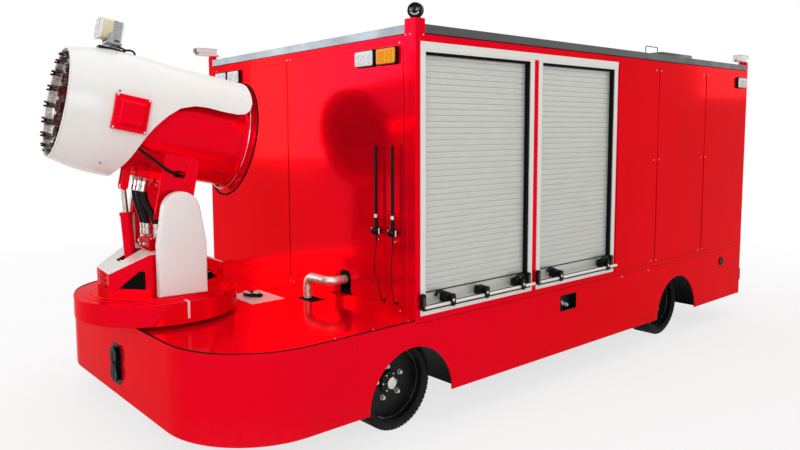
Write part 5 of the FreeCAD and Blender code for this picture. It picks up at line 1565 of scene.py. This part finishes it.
def barrel_bands():
    """Gland nut and ports of the lift cylinder's barrel."""
    way = Vector(joint("lift_stroke")["axis"]).normalized()
    pin = Vector(joint("lift_swing")["pos_m"])
    place, r = towards(pin, way), 0.029
    top = (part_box("lift_barrel")[1].z - pin.z) / way.z
    bm = bmesh.new()
    turned(bm, [(top - 0.020, r), (top - 0.018, r + 0.0035), (top - 0.004, r + 0.0035), (top - 0.002, r)], place, 32)
    turned(bm, [(0.046, r), (0.048, r + 0.003), (0.060, r + 0.003), (0.062, r)], place, 32)
    piece("barrel_bands", bm, red_enamel, "lift_barrel", soften=0.0008)


class ROBOT_OT_yoke(bpy.types.Operator):
    """Yoke, valve block with its fittings, and the lift cylinder"""
    bl_idname = "robot.yoke"
    bl_label = "Yoke and lift cylinder"

    def execute(self, context):
        dress(red_enamel, 0.002, "yoke")
        dress(red_enamel, 0.0015, "lift_barrel")
        dress(stainless, 0.0008, "lift_rod")
        valve_fittings()
        barrel_bands()
        return {"FINISHED"}


# ---- fan ---------------------------------------------------------------------------------
# along the fan's axis from the tilt pin: the bell's rim and its wire guard
BELL_RIM, GUARD_Y = 0.325, 0.296
BELL_RADIUS = 0.310


def wire_ring(bm, y, radius, thick, sides, steps):
    """Ring of round wire about the fan's axis."""
    wire = [math.tau * n / sides for n in range(sides)]
    turned(bm, [(y + thick * math.cos(a), radius + thick * math.sin(a)) for a in wire], FAN_AXIS, steps)


def bracket_flanges():
    """Folded edges of the bracket plates."""
    bm = bmesh.new()
    for side in (-1, 1):
        for front, rear, foot, top in ((-0.098, -0.092, -0.03, 0.27), (0.074, 0.080, -0.03, 0.27),
                                       (-0.062, -0.054, 0.226, 0.29), (0.036, 0.044, 0.226, 0.29)):
            block(bm, (side * 0.2118, front, foot - FAN_RISE), (side * 0.2165, rear, top - FAN_RISE), FAN)
    piece("bracket_flanges", bm, red_enamel, "fan", soften=0.0012)


def intake_guard():
    """Wire guard inside the bell's mouth: rings and spokes of steel rod."""
    bm = bmesh.new()
    for radius in (0.06, 0.10, 0.14, 0.18, 0.22, 0.26, 0.279):
        wire_ring(bm, GUARD_Y, radius, 0.0022, 8, 72)
    for n in range(8):
        c, s = polar(1, math.tau * n / 8).xy
        rod(bm, (0.058 * c, GUARD_Y, 0.058 * s), (0.282 * c, GUARD_Y, 0.282 * s), 0.0025, steps=10, place=FAN)
    piece("intake_guard", bm, zinc_plate, "fan")


class ROBOT_OT_fan(bpy.types.Operator):
    """Duct, bell with its rubber edging and wire guard, brackets, motor and rotor"""
    bl_idname = "robot.fan"
    bl_label = "Fan"

    def execute(self, context):
        dress(red_enamel, 0.002, "fan_housing")
        dress(red_enamel, 0.0015, "fan_brackets")
        dress(chassis_paint, 0.002, "fan_motor")
        dress(grey_cast, 0.001, "fan_rotor")
        lone("bell_edging", seal_rubber, turned,
             [(BELL_RIM - 0.006, BELL_RADIUS - 0.0005), (BELL_RIM - 0.006, BELL_RADIUS + 0.002),
              (BELL_RIM + 0.002, BELL_RADIUS + 0.0025), (BELL_RIM + 0.003, BELL_RADIUS - 0.002),
              (BELL_RIM + 0.002, BELL_RADIUS - 0.007), (BELL_RIM - 0.001, BELL_RADIUS - 0.007)], FAN_AXIS, 120,
             body="fan")
        bracket_flanges()
        intake_guard()
        return {"FINISHED"}


# ---- shroud ------------------------------------------------------------------------------
SHROUD_LIP_Y, SHROUD_LIP_RADIUS = -0.594, 0.2665


def box_lids():
    """Raised, sloping-sided centre and four screws of each square cover."""
    lids, screws = bmesh.new(), bmesh.new()
    low, high, slope = Vector((0.330, -0.390, -0.074)), Vector((0.352, -0.250, 0.058)), 0.016
    middle = (low + high) / 2
    for side in (-1, 1):
        part = bmesh.new()
        for vert in block(part, low, high):
            if vert.co.x > middle.x:
                vert.co.y -= math.copysign(slope, vert.co.y - middle.y)
                vert.co.z -= math.copysign(slope, vert.co.z - middle.z)
        bmesh.ops.recalc_face_normals(part, faces=part.faces)
        merge(lids, part, FAN @ Matrix.Diagonal((side, 1, 1, 1)))
        for y in (-0.393, -0.247):
            for z in (-0.083, 0.067):
                screw(screws, FAN @ towards((side * 0.333, y, z), (side, 0, 0)), 0.005)
    piece("side_box_lids", lids, red_enamel, "fan", soften=0.005)
    piece("side_box_screws", screws, zinc_plate, "fan")


def shroud_screws():
    """Dark screws in the white skin and bright ones in the duct and brackets."""
    for name, maker, r, spots in (("shroud_screws", chassis_paint, 0.3105, ((-0.381, 0.089), (-0.387, -0.254))),
                                  ("duct_screws", zinc_plate, 0.2625, ((0.002, 0.124), (0.22, 0.14)))):
        bm = bmesh.new()
        for side in (-1, 1):
            for y, z in spots:
                x = side * math.sqrt(r * r - z * z)
                screw(bm, FAN @ towards((x, y, z), (x, 0, z)), 0.0045)
        piece(name, bm, maker, "fan")


class ROBOT_OT_shroud(bpy.types.Operator):
    """White skin round the nose with its rolled lip, the side covers and the screws"""
    bl_idname = "robot.shroud"
    bl_label = "Shroud"

    def execute(self, context):
        thick = context.scene.robot_fan.skin
        dress(white_enamel, 0.0012, "fan_shroud")
        lone("shroud_lip", white_enamel, wire_ring, SHROUD_LIP_Y + thick * 0.2, SHROUD_LIP_RADIUS, thick * 0.6, 14,
             120, body="fan")
        dress(red_enamel, 0.006, "side_boxes")
        box_lids()
        shroud_screws()
        return {"FINISHED"}


# ---- mist nozzles ------------------------------------------------------------------------
def flat_nozzle(bm, spot):
    """Flat spray nozzle: a forked leaf with a raised spine, lying along the band's inner face."""
    plate(bm, (0.004, -0.011, -0.006), (0.008, 0.011, 0.034), 0.004, spot)
    for way in (-1, 1):
        plate(bm, (0.002, way * 0.003, -0.024), (0.008, way * 0.013, 0.000), 0.003,
              spot @ Matrix.Rotation(math.radians(way * 8), 4, "X"))
    block(bm, (-0.002, -0.003, -0.012), (0.006, 0.003, 0.030), spot)


class ROBOT_OT_nozzles(bpy.types.Operator):
    """Steel band in the fan's mouth with its ring of mist nozzles and their pipes"""
    bl_idname = "robot.nozzles"
    bl_label = "Mist nozzles"

    def execute(self, context):
        settings = context.scene.robot_fan
        band, caps, tubes = bmesh.new(), bmesh.new(), bmesh.new()
        front = SHROUD_LIP_Y + 0.004
        back = front + settings.band
        turned(band, [(front, 0.2540), (back, 0.2520), (back, 0.2545), (front, 0.2565)], FAN_AXIS, 120)
        turned(band, [(front + 0.030, 0.2180), (front + 0.030, 0.2545), (front + 0.034, 0.2545),
                      (front + 0.034, 0.2200), (front + 0.110, 0.2330), (front + 0.110, 0.2310)], FAN_AXIS, 120)
        piece("nozzle_band", band, stainless, "fan", ("nozzle_ring",))
        for n in range(settings.nozzles):
            spot, between = (FAN_AXIS @ Matrix.Rotation(math.tau * share / settings.nozzles, 4, "Z")
                             @ Matrix.Translation((settings.nozzle_circle, 0, front)) for share in (n, n + 0.5))
            flat_nozzle(caps, spot)
            rod(tubes, (0.004, 0, 0.004), (0.004, 0, 0.038), 0.0055, steps=16, place=spot)
            if n % 2:
                block(caps, (-0.020, -0.030, 0.050), (-0.014, 0.020, 0.096), spot)
            rod(tubes, (-0.024, 0, 0.036), (-0.024, 0, 0.100), 0.0095, steps=20, place=between)
        piece("nozzle_caps", caps, maroon_cap, "fan", soften=0.0008)
        piece("nozzle_tubes", tubes, zinc_plate, "fan", soften=0.0005)
        return {"FINISHED"}


# ---- work lamp ---------------------------------------------------------------------------
SKIN_TOP = 0.311                # top of the white skin above the fan's axis


class ROBOT_OT_work_lamp(bpy.types.Operator):
    """Lamp on the nose: cream housing, white-rimmed glass, finned back and its bracket"""
    bl_idname = "robot.work_lamp"
    bl_label = "Work lamp"

    def execute(self, context):
        base = SKIN_TOP
        low, high = base + 0.040, base + 0.142
        seat, foot, fins, optics = (bmesh.new() for _ in range(4))
        plate(seat, (-0.034, -0.452, base - 0.014), (0.034, -0.322, base + 0.006), 0.010, FAN)
        turned(foot, [(base + 0.004, 0), (base + 0.004, 0.030), (base + 0.014, 0.028), (base + 0.018, 0.018),
                      (base + 0.034, 0.016), (base + 0.034, 0)], FAN @ Matrix.Translation((0, -0.372, 0)), 40,
               closed=False)
        plate(foot, (-0.054, -0.424, base + 0.022), (0.054, -0.350, base + 0.034), 0.010, FAN)
        for left, right in ((-0.058, -0.052), (0.052, 0.058)):
            plate(foot, (left, -0.424, base + 0.022), (right, -0.392, base + 0.074), 0.014, FAN)
        piece("work_lamp_bracket", foot, grey_cast, "fan", soften=0.001)
        shell = lone("work_lamp_shell", cream_cast, plate, (-0.051, -0.456, low + 0.002),
                     (0.051, -0.402, high - 0.001), 0.018, FAN, 5, body="fan", soften=0.005)
        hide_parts("work_lamp")
        block(fins, (-0.040, -0.404, low + 0.008), (0.040, -0.368, high - 0.008), FAN)
        for n in range(9):
            x = -0.046 + 0.0115 * n
            plate(fins, (x - 0.0022, -0.404, low + 0.005), (x + 0.0022, -0.361, high - 0.005), 0.0015, FAN)
        piece("work_lamp_fins", fins, grey_cast, "fan")
        lone("work_lamp_back", white_shell, plate, (-0.050, -0.361, low + 0.002), (0.050, -0.353, high - 0.002), 0.014,
             FAN, 5, body="fan", soften=0.002)
        lone("work_lamp_rim", white_shell, plate, (-0.056, -0.468, low - 0.002), (0.056, -0.452, high + 0.002), 0.016,
             FAN, 5, body="fan", soften=0.004)
        lone("work_lamp_glass", grey_cast, plate, (-0.046, -0.4695, low + 0.008), (0.046, -0.4675, high - 0.008), 0.010,
             FAN, body="fan")
        for x in (-0.022, 0.022):
            for z in (low + 0.030, high - 0.030):
                turned(optics, [(0, 0.0165), (0.0006, 0.0165), (0.0012, 0.014), (0.0004, 0.008), (0.0004, 0)],
                       FAN @ towards((x, -0.4695, z), (0, -1, 0)), 32, closed=False)
        piece("work_lamp_optics", optics, clear_lens, "fan")
        bent_rod(seat, [(0.000, -0.362, base + 0.022), (0.008, -0.340, base + 0.020), (0.020, -0.322, base + 0.010),
                        (0.030, -0.306, base + 0.016), (0.040, -0.288, base + 0.012), (0.048, -0.278, base - 0.004),
                        (0.050, -0.284, base - 0.016)], 0.0055, FAN)
        piece("work_lamp_seat", seat, moulded_black, "fan", soften=0.0015)
        return {"FINISHED"}


# ---- sidebar -----------------------------------------------------------------------------
OPERATORS = (ROBOT_OT_stage, ROBOT_OT_cords, ROBOT_OT_skirts, ROBOT_OT_tow, ROBOT_OT_body, ROBOT_OT_shutters,
             ROBOT_OT_lamps, ROBOT_OT_cameras, ROBOT_OT_aerials, ROBOT_OT_pipe, ROBOT_OT_underframe, ROBOT_OT_wheels,
             ROBOT_OT_turntable, ROBOT_OT_yoke, ROBOT_OT_fan, ROBOT_OT_shroud, ROBOT_OT_nozzles, ROBOT_OT_work_lamp)
SETTINGS = {"robot_view": RobotView, "robot_paint": RobotPaint, "robot_body": RobotBody, "robot_wheels": RobotWheels,
            "robot_fan": RobotFan}


class ROBOT_PT_panel(bpy.types.Panel):
    """The robot's pieces and the sizes and colours behind them"""
    bl_idname = "ROBOT_PT_panel"
    bl_label = "Firefighting Robot"
    bl_space_type = "VIEW_3D"
    bl_region_type = "UI"
    bl_category = "Robot"

    def draw(self, context):
        for attribute in SETTINGS:
            box = self.layout.box()
            box.label(text=attribute.replace("_", " ").capitalize())
            settings = getattr(context.scene, attribute)
            for name in settings.bl_rna.properties.keys():
                if name not in ("rna_type", "name"):
                    box.prop(settings, name)
        column = self.layout.column(align=True)
        for operator in OPERATORS:
            column.operator(operator.bl_idname)


def register():
    for settings in SETTINGS.values():
        bpy.utils.register_class(settings)
    for attribute, settings in SETTINGS.items():
        setattr(bpy.types.Scene, attribute, PointerProperty(type=settings))
    for operator in OPERATORS:
        bpy.utils.register_class(operator)
    bpy.utils.register_class(ROBOT_PT_panel)


def unregister():
    bpy.utils.unregister_class(ROBOT_PT_panel)
    for operator in reversed(OPERATORS):
        bpy.utils.unregister_class(operator)
    for attribute, settings in SETTINGS.items():
        delattr(bpy.types.Scene, attribute)
        bpy.utils.unregister_class(settings)


def main():
    register()
    for operator in OPERATORS:
        group, name = operator.bl_idname.split(".")
        getattr(getattr(bpy.ops, group), name)()


if __name__ == "__main__":
    main()
